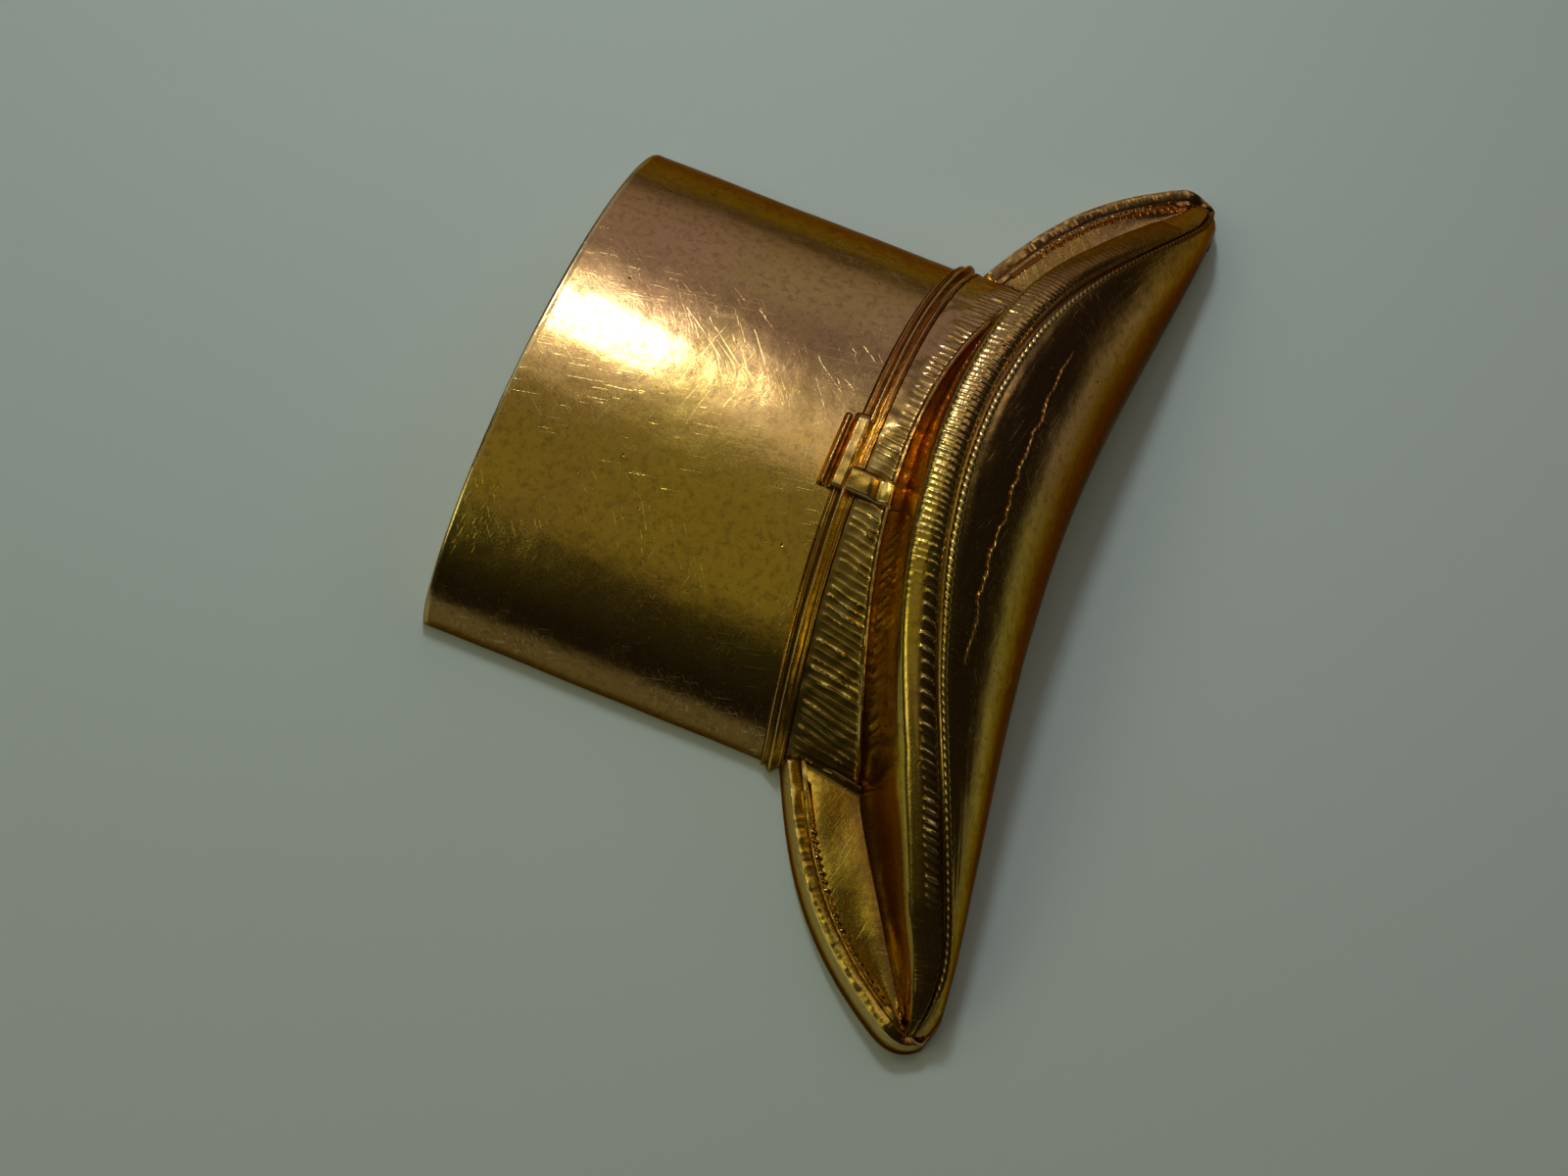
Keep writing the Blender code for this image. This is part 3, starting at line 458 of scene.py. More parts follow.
class Nodes:
    """Short calls for building one material's node tree."""

    def __init__(self, name):
        self.material = bpy.data.materials.new(name)
        self.material.use_nodes = True
        self.tree = self.material.node_tree
        self.shader = self.tree.nodes["Principled BSDF"]

    def add(self, kind, inputs=None, **settings):
        made = self.tree.nodes.new(kind)
        for key, value in settings.items():
            setattr(made, key, value)
        for key, value in (inputs or {}).items():
            self.feed(made.inputs[key], value)
        return made

    def feed(self, socket, value):
        if isinstance(value, bpy.types.NodeSocket):
            self.tree.links.new(value, socket)
        else:
            socket.default_value = value

    def maths(self, operation, first, second=0.0):
        return self.add("ShaderNodeMath", {0: first, 1: second}, operation=operation).outputs[0]

    def span(self, value, low, high, to_low=0.0, to_high=1.0):
        """Maps low..high smoothly to to_low..to_high."""
        inputs = {"Value": value, "From Min": low, "From Max": high,
                  "To Min": to_low, "To Max": to_high}
        made = self.add("ShaderNodeMapRange", inputs, interpolation_type="SMOOTHSTEP")
        return made.outputs["Result"]

    def mix(self, factor, first, second):
        """Colour mix of two colours or sockets."""
        made = self.add("ShaderNodeMix", data_type="RGBA")
        self.feed(made.inputs["Factor"], factor)
        self.feed(made.inputs[6], first)
        self.feed(made.inputs[7], second)
        return made.outputs[2]

    def place(self, turn=(0.0, 0.0, 0.0), scale=(1.0, 1.0, 1.0)):
        """The piece's own coordinates in millimetres, turned and then scaled."""
        coordinates = self.add("ShaderNodeTexCoord").outputs["Object"]
        sized = self.add("ShaderNodeVectorMath", {0: coordinates, "Scale": 1.0 / MM},
                         operation="SCALE").outputs[0]
        turned = self.add("ShaderNodeMapping", {"Vector": sized, "Rotation": turn}).outputs[0]
        return self.add("ShaderNodeMapping", {"Vector": turned, "Scale": scale}).outputs[0]

    def noise(self, frequency, detail=2.0, roughness=0.5):
        """Noise with about frequency features to the millimetre."""
        inputs = {"Vector": self.place(), "Scale": frequency, "Detail": detail,
                  "Roughness": roughness}
        return self.add("ShaderNodeTexNoise", inputs).outputs[0]

    def streaks(self, degrees, length, width, share):
        """Straight hairlines of uneven length: the high parts of a noise stretched one way."""
        turn = (0.0, 0.0, math.radians(degrees))
        vector = self.place(turn, (1.0 / length, 1.0 / width, 0.3 / width))
        inputs = {"Vector": vector, "Scale": 1.0, "Detail": 1.0, "Roughness": 0.5}
        field = self.add("ShaderNodeTexNoise", inputs).outputs[0]
        return self.span(field, 0.76 - share, 0.82 - share)

    def bump(self, height, distance, normal=None):
        inputs = {"Height": height, "Distance": distance * MM, "Strength": 1.0}
        if normal is not None:
            inputs["Normal"] = normal
        return self.add("ShaderNodeBump", inputs).outputs[0]


def metal_and_light_tint(n):
    """0 for gold to 1 for copper: soft random patches of tone, plus a painted tint that follows the
    lights' colour, yellower on the hat's -X side under the olive lights and pinker towards +X near the
    key.
    """
    across = n.add("ShaderNodeSeparateXYZ", {"Vector": n.place()}).outputs[0]
    patches = n.maths("MULTIPLY", n.span(n.noise(0.16, 3.0), 0.38, 0.62), 0.3)
    # painted light colour: gold to copper along x, from -6 to 1.5 mm
    return n.maths("ADD", patches, n.span(across, -6.0, 1.5, 0.0, 0.7))


def corrosion_pits(n):
    """1 in small round pits of uneven size, which about half the cells of a Voronoi pattern have."""
    cell = n.add("ShaderNodeTexVoronoi", {"Vector": n.place(), "Scale": 1.5, "Randomness": 1.0})
    lot = n.add("ShaderNodeSeparateColor", {"Color": cell.outputs["Color"]}).outputs[1]
    size = n.span(lot, 0.55, 1.0, 0.0, 0.075)
    share = n.maths("DIVIDE", cell.outputs["Distance"], n.maths("ADD", size, 0.001))
    return n.span(share, 0.5, 1.5, 1.0, 0.0)


# direction in degrees, length and width in millimetres, and share of the surface
SCRATCHES = ((12.0, 2.6, 0.10, 0.10), (78.0, 1.6, 0.08, 0.10),
             (-35.0, 2.0, 0.08, 0.09), (128.0, 3.4, 0.09, 0.08))


def hairline_scratches(n):
    """1 along fine scratches in several directions, fewer where the surface was rubbed less."""
    marks = 0.0
    for scratch in SCRATCHES:
        marks = n.maths("MAXIMUM", marks, n.streaks(*scratch))
    rubbed = n.span(n.noise(0.22, 2.0), 0.35, 0.62, 0.25, 1.0)
    return n.maths("MULTIPLY", marks, rubbed)


def brass(name, polish=0.20, tarnish=0.3, scratch=1.0):
    """Worn struck brass: gold and copper tints, partly a painted tint of the lights' colour, tarnish in
    patches, grime in hollows, bright wear on crests, pits and hairline scratches. It reads the hollow
    and brown marks of the mesh, which also carry a painted highlight and painted shade."""
    n = Nodes(name)
    hollow = n.add("ShaderNodeAttribute", attribute_name="hollow").outputs["Fac"]
    stain_and_shade = n.add("ShaderNodeAttribute", attribute_name="stain_and_shade").outputs["Fac"]
    sunk = n.span(hollow, 0.10, 0.85)
    crest = n.span(n.maths("MULTIPLY", hollow, -1.0), 0.05, 0.8)
    patch = n.span(n.noise(0.42, 7.0, 0.74), 0.46, 0.72)
    mottle = n.span(n.noise(3.2, 5.0, 0.74), 0.46, 0.66)
    pit = corrosion_pits(n)
    marks = hairline_scratches(n)
    grain = n.noise(16.0, 3.0, 0.6)

    # brown where the mesh's brown mark is set: stains, and painted shade on some flanks and walls
    colour = n.mix(stain_and_shade, n.mix(metal_and_light_tint(n), GOLD, COPPER), BROWN)
    # the crest layer is wear on crests, and on the ribbon's edge bead a painted highlight
    layers = ((patch, 0.7 * tarnish, TARNISH), (mottle, 1.5 * tarnish, TARNISH),
              (marks, 0.30 * scratch, WORN_AND_SHEEN), (crest, 0.55, WORN_AND_SHEEN), (sunk, 0.7, GRIME), (pit, 0.75, GRIME))
    for where, amount, tone in layers:
        colour = n.mix(n.maths("MULTIPLY", where, amount), colour, tone)
    n.feed(n.shader.inputs["Base Color"], colour)
    n.shader.inputs["Metallic"].default_value = 1.0
    n.shader.inputs["Specular Tint"].default_value = EDGE_TINT

    rough = n.span(grain, 0.3, 0.7, polish - 0.03, polish + 0.05)
    for where, amount in ((patch, 0.08), (mottle, 0.05), (sunk, 0.20)):
        rough = n.maths("ADD", rough, n.maths("MULTIPLY", where, amount))
    n.feed(n.shader.inputs["Roughness"], rough)

    normal = n.bump(grain, 0.0022)
    normal = n.bump(n.maths("MULTIPLY", marks, -1.0), 0.002 * scratch, normal)
    normal = n.bump(n.maths("MULTIPLY", pit, -1.0), 0.015, normal)
    normal = n.bump(n.noise(2.2, 2.0), 0.007, normal)
    n.feed(n.shader.inputs["Normal"], normal)
    return n.material


def drawn_metal(name, bright, dark, polish, degrees):
    """A plain fitting: drawn or cut metal with lines along it, dulled in patches and spotted."""
    n = Nodes(name)
    patch = n.span(n.noise(0.7, 5.0, 0.6), 0.42, 0.72)
    lines = n.streaks(degrees, 6.0, 0.08, 0.25)
    spots = n.span(n.noise(2.6, 4.0, 0.7), 0.56, 0.7)
    colour = n.mix(n.maths("MULTIPLY", patch, 0.6), bright, dark)
    colour = n.mix(n.maths("MULTIPLY", spots, 0.5), colour, dark)
    n.feed(n.shader.inputs["Base Color"], colour)
    n.shader.inputs["Metallic"].default_value = 1.0
    rough = n.span(patch, 0.0, 1.0, polish, polish + 0.18)
    n.feed(n.shader.inputs["Roughness"], rough)
    normal = n.bump(lines, 0.004)
    normal = n.bump(n.noise(9.0, 3.0), 0.004, normal)
    n.feed(n.shader.inputs["Normal"], normal)
    return n.material


# -------- crown

def make_crown(material):
    """The crown's skin: faint waves left by the press, a rounded lip, a plain edge under the band."""
    angle, arc = even_angles(PLAIN)
    x = CROWN_HALF_WIDTH * np.cos(angle)
    lip = np.array((0.0, 0.015, 0.05, 0.10, 0.17))
    lip_rise = np.array((-0.12, -0.05, -0.01, 0.012, 0.01))
    body = np.linspace(0.28, 1.0, int((CROWN_TOP_Y - RIBBON_LOWER_Y) / PLAIN))
    body = (body - body[0]) / (1.0 - body[0])
    lower = ribbon_lower_line(x)[:, None]
    start = CROWN_TOP_Y - 0.27
    y = np.concatenate((np.broadcast_to(CROWN_TOP_Y - lip, (len(angle), len(lip))),
                        start + (lower - start) * body), axis=1)
    rise = CROWN_WAVE * waves(arc[:, None], y, CROWN_WAVE_PITCH, 3)
    rise = rise + 0.004 * waves(arc[:, None], y, 1.7, 4)
    rise[:, :len(lip)] = lip_rise
    outer = on_crown(angle, y, rise)
    inner_y = CROWN_TOP_Y + (lower - CROWN_TOP_Y) * np.linspace(0.0, 1.0, 24)
    inner = on_crown(angle, inner_y, np.full_like(inner_y, -SHEET))
    hollow = hollows(rise, (3, 3), 0.03)
    hollow[:, :len(lip)] = -0.8
    degrees = np.degrees(angle)[:, None]
    # Painted shade: brown near the -X long edge darkens the floor's reflection on that flank. The brown
    # towards the +X edge is patina.
    stain_and_shade = 0.9 * smooth_step(degrees, 140.0, 160.0) + 0.65 * smooth_step(degrees, 66.0, 42.0)
    stain_and_shade = stain_and_shade + 0.0 * y
    crown = sheet_solid("crown_skin", outer, inner, hollow, stain_and_shade)
    return settle(crown, material, "badge", "struck_brass", "crown_shell")


def make_top_plate(material):
    """The D-shaped plate let into the end of the crown: slightly dished, with a rounded border."""
    angle, _ = even_angles(0.2)
    x, z, normal_x, normal_z = crown_frame(angle)
    rim_x = x - normal_x * (SHEET - 0.02)
    rim_z = np.maximum(z - normal_z * (SHEET - 0.02), 0.02)
    front = CROWN_TOP_Y - 0.12
    share = np.concatenate((np.linspace(0.02, 0.86, 30), np.linspace(0.875, 1.0, 12)))
    border = (1.0 - share) * 6.0
    dip = -0.10 * smooth_step(border, 0.25, 0.9) + 0.05 * bell(border, 0.22, 0.12)
    dip = dip - 0.10 * smooth_step(border, 0.08, -0.01)
    outer = np.stack((rim_x[:, None] * share, front + dip + 0.0 * rim_x[:, None],
                      0.02 + (rim_z[:, None] - 0.02) * share), axis=-1)
    back = outer[:, ::6].copy()
    back[..., 1] = front - 0.5
    hollow = hollows(np.broadcast_to(dip, outer.shape[:2]), (2, 2), 0.05)
    plate = sheet_solid("top_plate_skin", outer, back, hollow)
    return settle(plate, material, "badge", "struck_brass", "crown_top_plate")


# -------- hat band

def make_welt(material):
    """The moulding above the ribbon: a fine ridge, a groove, the main ridge and a border line."""
    angle, arc = even_angles(0.09, foot=BAND_FOOT)
    x = CROWN_HALF_WIDTH * np.cos(angle)
    offset = np.linspace(0.52, -0.52, 44)
    along = arc[:, None]
    rise = -0.05 * np.ones((len(angle), 1)) + 0.10 * smooth_step(np.abs(offset), 0.52, 0.44)
    rise = rise + 0.15 * (1.0 + 0.25 * wander(along, 0.5, 11)) * bell(offset, 0.36, 0.055)
    rise = rise + 0.31 * (1.0 + 0.07 * wander(along, 0.9, 12)) * bell(offset, 0.03, 0.155)
    rise = rise + 0.14 * (1.0 + 0.25 * wander(along, 0.4, 13)) * bell(offset, -0.38, 0.05)
    y = welt_line(x)[:, None] + offset
    outer = on_crown(angle, y, rise)
    inner = on_crown(angle, y[:, ::14], np.full((len(angle), 4), -0.08))
    welt = sheet_solid("welt_skin", outer, inner, hollows(rise, (1, 4), 0.10))
    return settle(welt, material, "badge", "struck_brass", "band_welt")


def ribbon_ribs(along, share, y, from_edge, width):
    """Height of the ribs from 0 to about 1. On the -X side they run right across the ribbon, on the
    +X side they are short raised bars in its lower half."""
    slant = 0.30 * wander(along, 3.0, 21) + 0.10
    bend = 0.05 * waves(along, 2.0 * share, 1.4, 26)
    right = smooth_step(along, -1.5, 0.5)
    lean = (slant * (share - 0.5) * width * 0.6 + bend) * (1.0 - 0.6 * right)
    inside, tooth = comb(along + lean, RIB_PITCH, 0.18, 22)
    crest = bell(inside, 0.0, 0.15)
    strength = tooth_value(tooth, 0.35, 1.15, 23) * (0.85 + 0.25 * waves(along, y, 0.7, 27))
    near_bow = smooth_step(along, -7.5, -4.5) * (1.0 - right)
    full = smooth_step(from_edge, 0.16, 0.30) * smooth_step(share, 0.04, 0.16)
    full = full * (1.0 - 0.55 * near_bow * smooth_step(share, 0.62, 0.40))
    half = smooth_step(from_edge, 0.14, 0.28) * smooth_step(share, 0.30, 0.55)
    return crest * strength * (full * (1.0 - right) + half * right)


def make_ribbon(material):
    """The ribbed ribbon, with a dark ground between its ribs and a bead along its lower edge that
    carries a painted highlight.
    """
    angle, arc = even_angles(FINE, foot=BAND_FOOT)
    x = CROWN_HALF_WIDTH * np.cos(angle)
    share = np.linspace(0.0, 1.0, 48)
    upper = (welt_line(x) - WELT_HALF_WIDTH)[:, None]
    lower = (ribbon_lower_line(x) - 0.06)[:, None]
    y = upper + (lower - upper) * share
    width = upper - lower
    from_edge = (1.0 - share) * width
    along = arc[:, None]
    right = smooth_step(along, -1.5, 0.5)
    ribs = ribbon_ribs(along, share, y, from_edge, width)
    rise = 0.11 + (RIB_HEIGHT - 0.02 * right) * ribs
    rise = rise + 0.02 * waves(along, y, 0.8, 24)
    edge_bead = bell(from_edge, 0.12, 0.085)
    rise = rise + RIBBON_BEAD_HEIGHT * (1.0 + 0.2 * wander(along, 0.35, 25)) * edge_bead
    rise = rise - 0.17 * smooth_step(from_edge, 0.05, 0.0)
    outer = on_crown(angle, y, rise)
    inner = on_crown(angle, y[:, ::15], np.full((len(angle), 4), -0.08))
    ground = 0.75 * (1.0 - 0.75 * right) - 1.7 * ribs - 1.7 * edge_bead
    hollow = np.clip(np.maximum(hollows(rise, (4, 4), 0.06), ground), -1.0, 1.0)
    # painted highlight: the whole edge bead takes the bright crest colour
    hollow = np.where(edge_bead > 0.4, -edge_bead, hollow)
    stain_and_shade = 0.20 * (1.0 - edge_bead)
    ribbon = sheet_solid("ribbon_skin", outer, inner, hollow, stain_and_shade)
    return settle(ribbon, material, "badge", "struck_brass", "band_ribbon")


def make_bow_bar(material):
    """The flat bow above the ribbon: a ridge and a groove along its top, then a rounded body."""
    angle, arc = even_angles(0.04, BOW_RIGHT_X, BOW_LEFT_X)
    x = CROWN_HALF_WIDTH * np.cos(angle)[:, None]
    top = BOW_BAR_TOP_Y + 0.02
    bottom = welt_line(x) - 0.14
    share = np.linspace(0.0, 1.0, 56)
    y = top + (bottom - top) * share
    down = top - y
    from_right = BOW_RIGHT_X - x
    from_left = x - BOW_LEFT_X
    right_end = np.sqrt(np.clip(from_right / 0.38, 0.0, 1.0))
    left_end = np.sqrt(np.clip(from_left / 0.12, 0.0, 1.0))
    body = smooth_step(down, 0.34, 0.60) * (1.0 - 0.40 * smooth_step(down, 0.90, 1.22))
    ridge = 0.80 * bell(down, 0.18, 0.12) * smooth_step(from_right, 0.10, 0.45)
    rise = (0.62 * BOW_HEIGHT * np.maximum(body, ridge) - 0.04) * right_end * left_end + 0.02
    rise = rise + 0.012 * waves(arc[:, None], y, 0.9, 31)
    rise[:, 0] = -0.04
    outer = on_crown(angle, y, rise)
    inner = on_crown(angle, y[:, ::18], np.full((len(angle), 4), -0.06))
    bow = sheet_solid("bow_bar_skin", outer, inner, hollows(rise, (4, 4), 0.12))
    return settle(bow, material, "badge", "struck_brass", "bow_bar")


def make_bow_tail(material):
    """The strap from the bow down across the band: crowned, with a bright rounded end."""
    angle, arc = even_angles(0.035, BOW_LEFT_X + BOW_TAIL_WIDTH, BOW_LEFT_X)
    x = CROWN_HALF_WIDTH * np.cos(angle)[:, None]
    top = welt_line(x) - 0.02
    bottom = ribbon_lower_line(x) - 0.10
    share = np.linspace(0.0, 1.0, 64)
    y = top + (bottom - top) * share
    from_left = x - BOW_LEFT_X
    from_right = BOW_LEFT_X + BOW_TAIL_WIDTH - x
    sides = np.sqrt(np.clip(np.minimum(from_left / 0.16, from_right / 0.30), 0.0, 1.0))
    from_end = y - bottom
    end = np.sqrt(np.clip(from_end / 0.16, 0.0, 1.0))
    crowned = 0.90 + 0.10 * bell(from_left, 0.55, 0.4)
    swell = 1.0 - 0.22 * bell(from_end, 0.62, 0.25) - 0.10 * share
    rise = 0.70 * BOW_HEIGHT * sides * end * crowned * swell - 0.02
    rise = rise + 0.012 * waves(arc[:, None], y, 0.8, 33)
    outer = on_crown(angle, y, rise)
    inner = on_crown(angle, y[:, ::21], np.full((len(angle), 4), -0.06))
    tail = sheet_solid("bow_tail_skin", outer, inner, hollows(rise, (4, 4), 0.10))
    return settle(tail, material, "badge", "struck_brass", "bow_tail")


# -------- brim

def brim_columns(spacing, limit):
    return np.linspace(-limit, limit, int(2.0 * limit / spacing) + 1)


def front_relief(along, v, boss, tooth):
    """Struck relief of the front shell: bosses, the groove behind the cord, and striations."""
    rise = BOSS_HEIGHT * boss * tooth_value(tooth, 0.6, 1.1, 42)
    rise = rise - GROOVE_DEPTH * bell(v, STATION_GROOVE, 0.27) * nose_factor(along)
    rise = rise + 0.010 * waves(along, 1.2 * v, 4.0, 43) + 0.004 * waves(along, 1.2 * v, 1.2, 44)
    rise = rise + 0.008 * between_cords(v) * wander(12.0 * v + 0.25 * along, 1.0, 45)
    return rise * smooth_step(v, STATION_RIM, STATION_RIM - 0.5)


def between_cords(v):
    """1 on the dark strip between the twisted and the fine cord."""
    return smooth_step(v, 7.4, 7.8) * smooth_step(v, 10.0, 9.0)


def front_brown_and_shade(along, v, boss):
    """Brown on the lower wall and between the cords is painted shade that darkens their reflections;
    the metal is also browner in the climb towards +X and on both lobes.
    """
    # painted shade: brown on the lower wall and on the strip between the cords
    stain_and_shade = 0.95 * smooth_step(v, 9.6, 11.0) + 0.6 * between_cords(v)
    stain_and_shade = stain_and_shade + 0.25 * smooth_step(along, -6.0, 0.0) * smooth_step(v, 2.9, 2.2)
    stain_and_shade = np.maximum(stain_and_shade, 0.55 * smooth_step(np.abs(along), 11.0, 14.0) + 0.0 * v)
    return stain_and_shade * (1.0 - 0.6 * boss)


def make_front_shell(material):
    """The brim's front in one skin: climb from the band with a row of small bosses, roll, groove
    behind the cord, and the front wall down to the rim."""
    x = brim_columns(PLAIN, NOSE_END_X)
    climb = np.linspace(0.0, 3.0, 46)
    roll = np.linspace(3.0, 8.0, 62)[1:]
    wall = np.linspace(8.0, STATION_RIM, 40)[1:]
    stations = np.concatenate((climb, roll, wall))
    v = np.broadcast_to(stations, (len(x), len(stations)))
    along = x[:, None]
    inside, tooth = comb(along + 0.0 * v, BOSS_PITCH, 0.10, 41)
    boss_reach = smooth_step(along, -11.2, -10.0) * smooth_step(along, -3.0, -5.0)
    boss = bell(inside, 0.0, 0.27) * bell(v, BOSS_STATION, 0.42) * boss_reach
    rise = front_relief(along, v, boss, tooth)
    outer = on_brim(x, v, rise)
    depth = (shell_edge_line(x) - front_rim_line(x)) * nose_factor(x)
    thick = np.minimum(SHEET, 0.17 * depth + 0.01)
    inner_v = np.broadcast_to(np.linspace(0.0, STATION_RIM, 40), (len(x), 40))
    inner = on_brim(x, inner_v, -thick[:, None] * np.ones((1, 40)))
    hollow = np.maximum(hollows(rise, (3, 4), 0.07), 0.9 * bell(v, STATION_GROOVE, 0.30))
    shell = sheet_solid("front_shell_skin", outer, inner, hollow, front_brown_and_shade(along, v, boss))
    return settle(shell, material, "badge", "struck_brass", "brim_front_shell")


def binding_ridges(along, share, v):
    """Fine uneven ridges right across the binding, which fade towards +X."""
    warp = 0.14 * wander(along, 1.3, 51) * (share - 0.5)
    warp = warp + 0.10 * wander(along, 4.0, 57) * (share - 0.5) ** 2
    inside, tooth = comb(along + warp, BINDING_PITCH, 0.25, 52)
    fine = bell(inside, 0.0, 0.22) * tooth_value(tooth, 0.3, 1.1, 53)
    fine = fine * (0.70 + 0.30 * waves(along, 2.4 * v, 0.6, 54))
    return fine * (0.15 + 0.85 * smooth_step(along, 9.5, 6.0))


def binding_dashes(along, share):
    """Short dashes on the lower half of the binding, widely spaced and then close towards its -X end."""
    lean = 0.06 * (share - 0.5)
    wide_inside, wide_tooth = comb(along + lean, WIDE_DASH_PITCH, 0.14, 55)
    close_inside, close_tooth = comb(along + lean, CLOSE_DASH_PITCH, 0.16, 59)
    wide = bell(wide_inside, 0.0, 0.15) * tooth_value(wide_tooth, 0.7, 1.1, 56)
    close = bell(close_inside, 0.0, 0.20) * tooth_value(close_tooth, 0.5, 1.1, 60)
    outwards = smooth_step(along, -10.2, -11.4)
    bold = wide * (1.0 - outwards) + 0.8 * close * outwards
    start = tooth_value(wide_tooth, 0.50, 0.58, 58)
    return bold * smooth_step(share, start, start + 0.08) * smooth_step(share, 0.97, 0.88)


def make_binding(material):
    """The ribbed binding over the roll: fine ridges right across it, which turn into short dashes
    below a smooth shoulder on the -X side."""
    x = brim_columns(0.04, BINDING_HALF_LENGTH)
    share = np.linspace(0.0, 1.0, 40)
    v = np.broadcast_to(STATION_RIB_TOP + (STATION_RIB_LOW - STATION_RIB_TOP) * share,
                        (len(x), len(share)))
    along = x[:, None]
    left = smooth_step(along, -5.0, -7.5)
    ends = smooth_step(np.abs(along), BINDING_HALF_LENGTH, BINDING_HALF_LENGTH - 0.8)
    rim = smooth_step(share, 0.0, 0.10) * smooth_step(share, 1.0, 0.86)
    base = 0.045 * rim * (1.0 - 0.75 * left)
    relief = BINDING_RIDGE_HEIGHT * binding_ridges(along, share, v) * rim * (1.0 - left)
    relief = relief + DASH_HEIGHT * binding_dashes(along, share) * left
    rise = (base + relief) * ends - 0.012 * (1.0 - rim * ends)
    outer = on_brim(x, v, rise)
    inner = on_brim(x, v[:, ::13], np.full((len(x), 4), -0.08))
    # Darker brown: painted shade on the flank towards the cord, and browner over the lower half at the
    # -X end and over the +X end.
    dull = 0.5 * left * smooth_step(share, 0.45, 0.6) + 0.5 * smooth_step(share, 0.70, 0.95)
    dull = np.maximum(dull, 0.95 * smooth_step(along, 3.5, 8.5) + 0.0 * share)
    binding = sheet_solid("binding_skin", outer, inner, hollows(rise, (3, 3), 0.035), dull)
    return settle(binding, material, "badge", "struck_brass", "brim_binding")


def rope(name, x, v, radius, sunk, twist, dull):
    """A two-strand rope laid along the brim through stations v, partly sunk in the metal. dull is 1
    where its crests have browned instead of wearing bright."""
    centre = on_brim(x, v[:, None], (radius - sunk)[:, None])[:, 0]
    normal = brim_normals(x, v[:, None])[:, 0]
    tangent = np.gradient(centre, axis=0)
    step = np.linalg.norm(tangent, axis=1)
    tangent = tangent / step[:, None]
    side = np.cross(tangent, normal)
    side = side / np.linalg.norm(side, axis=1)[:, None]
    lift = np.cross(side, tangent)
    length = np.cumsum(step)
    around = np.linspace(0.0, 2.0 * math.pi, 22, endpoint=False)
    turns = 2.0 * math.pi * length / twist
    swell = np.abs(np.cos(around[None, :] - turns[:, None]))
    size = radius[:, None] * (0.74 + 0.28 * swell ** 0.8)
    taper = np.sqrt(np.clip(np.minimum(length, length[-1] - length) / 0.5, 0.02, 1.0))[:, None]
    size = size * taper
    rings = (centre[:, None] + side[:, None] * (size * np.cos(around))[..., None]
             + lift[:, None] * (size * np.sin(around))[..., None])
    rings[..., 2] = np.maximum(rings[..., 2], 0.0)
    hollow = np.clip((0.62 - swell) / 0.5 + 0.9 * dull[:, None], -1.0, 1.0)
    return ring_solid(name, rings, hollow, dull[:, None] + 0.0 * hollow)


def make_cords(material):
    x = brim_columns(0.04, CORD_HALF_LENGTH)
    v = STATION_CORD + 0.03 * wander(x, 0.9, 63)
    middle = smooth_step(np.abs(x), 9.0, 5.0)
    radius = CORD_END_RADIUS + (CORD_RADIUS - CORD_END_RADIUS) * middle
    dull = np.maximum(0.9 * smooth_step(x, 6.0, 12.0), 0.7 * smooth_step(x, -11.0, -15.0))
    cord = rope("twisted_cord", x, v, radius, 0.45 * radius, CORD_TWIST, dull)
    settle(cord, material, "badge", "struck_brass", "brim_twisted_cord")
    x = np.arange(*FINE_CORD_ENDS, 0.045)
    v = fine_cord_stations(x) + 0.09 * wander(x, 1.1, 61) + 0.06 * wander(x, 0.35, 62)
    radius = FINE_CORD_RADIUS * (1.0 + 0.25 * wander(x, 0.8, 64))
    dull = 0.75 + 0.15 * wander(x, 1.5, 65)
    cord = rope("fine_cord", x, v, radius, 0.035, FINE_CORD_TWIST, dull)
    settle(cord, material, "badge", "struck_brass", "brim_fine_cord")


# -------- lobes

def lobe_outline(spacing):
    """Outer edge of the +X lobe in plan, from the crown to the tip and round it into the front rim,
    evenly spaced."""
    x = np.linspace(LOBE_START_X, LOBE_CURVE_END_X, 400)
    s = (x - 10.0) / 10.0
    curve = np.stack((x, LOBE_START_Y - 4.6 * s - 3.3 * s ** 4), axis=1)
    f = np.linspace(0.0, 1.0, 60)[1:, None]
    corner = np.array(LOBE_TIP_CORNER)
    end = np.array(LOBE_TIP_END)
    tip = (1.0 - f) ** 2 * curve[-1] + 2.0 * f * (1.0 - f) * corner + f ** 2 * end
    rim_x = np.linspace(LOBE_TIP_END[0] - 0.3, LOBE_RIM_END_X, 12)
    rim_y = NOSE_Y + (front_rim_line(rim_x) - NOSE_Y) * nose_factor(rim_x) - LOBE_RIM_MARGIN
    path = np.concatenate((curve, tip, np.stack((rim_x, rim_y), axis=1)))
    length = np.concatenate(((0.0,), np.cumsum(np.linalg.norm(np.diff(path, axis=0), axis=1))))
    even = np.linspace(0.0, length[-1], int(length[-1] / spacing))
    points = np.stack([np.interp(even, length, path[:, k]) for k in range(2)], axis=1)
    slopes = np.gradient(points, axis=0)
    normals = np.stack((slopes[:, 1], -slopes[:, 0]), axis=1)
    for k in range(2):
        normals[:, k] = box_blur(normals[:, k:k + 1], 5, 0)[:, 0]
    normals /= np.linalg.norm(normals, axis=1)[:, None]
    return points, normals, even


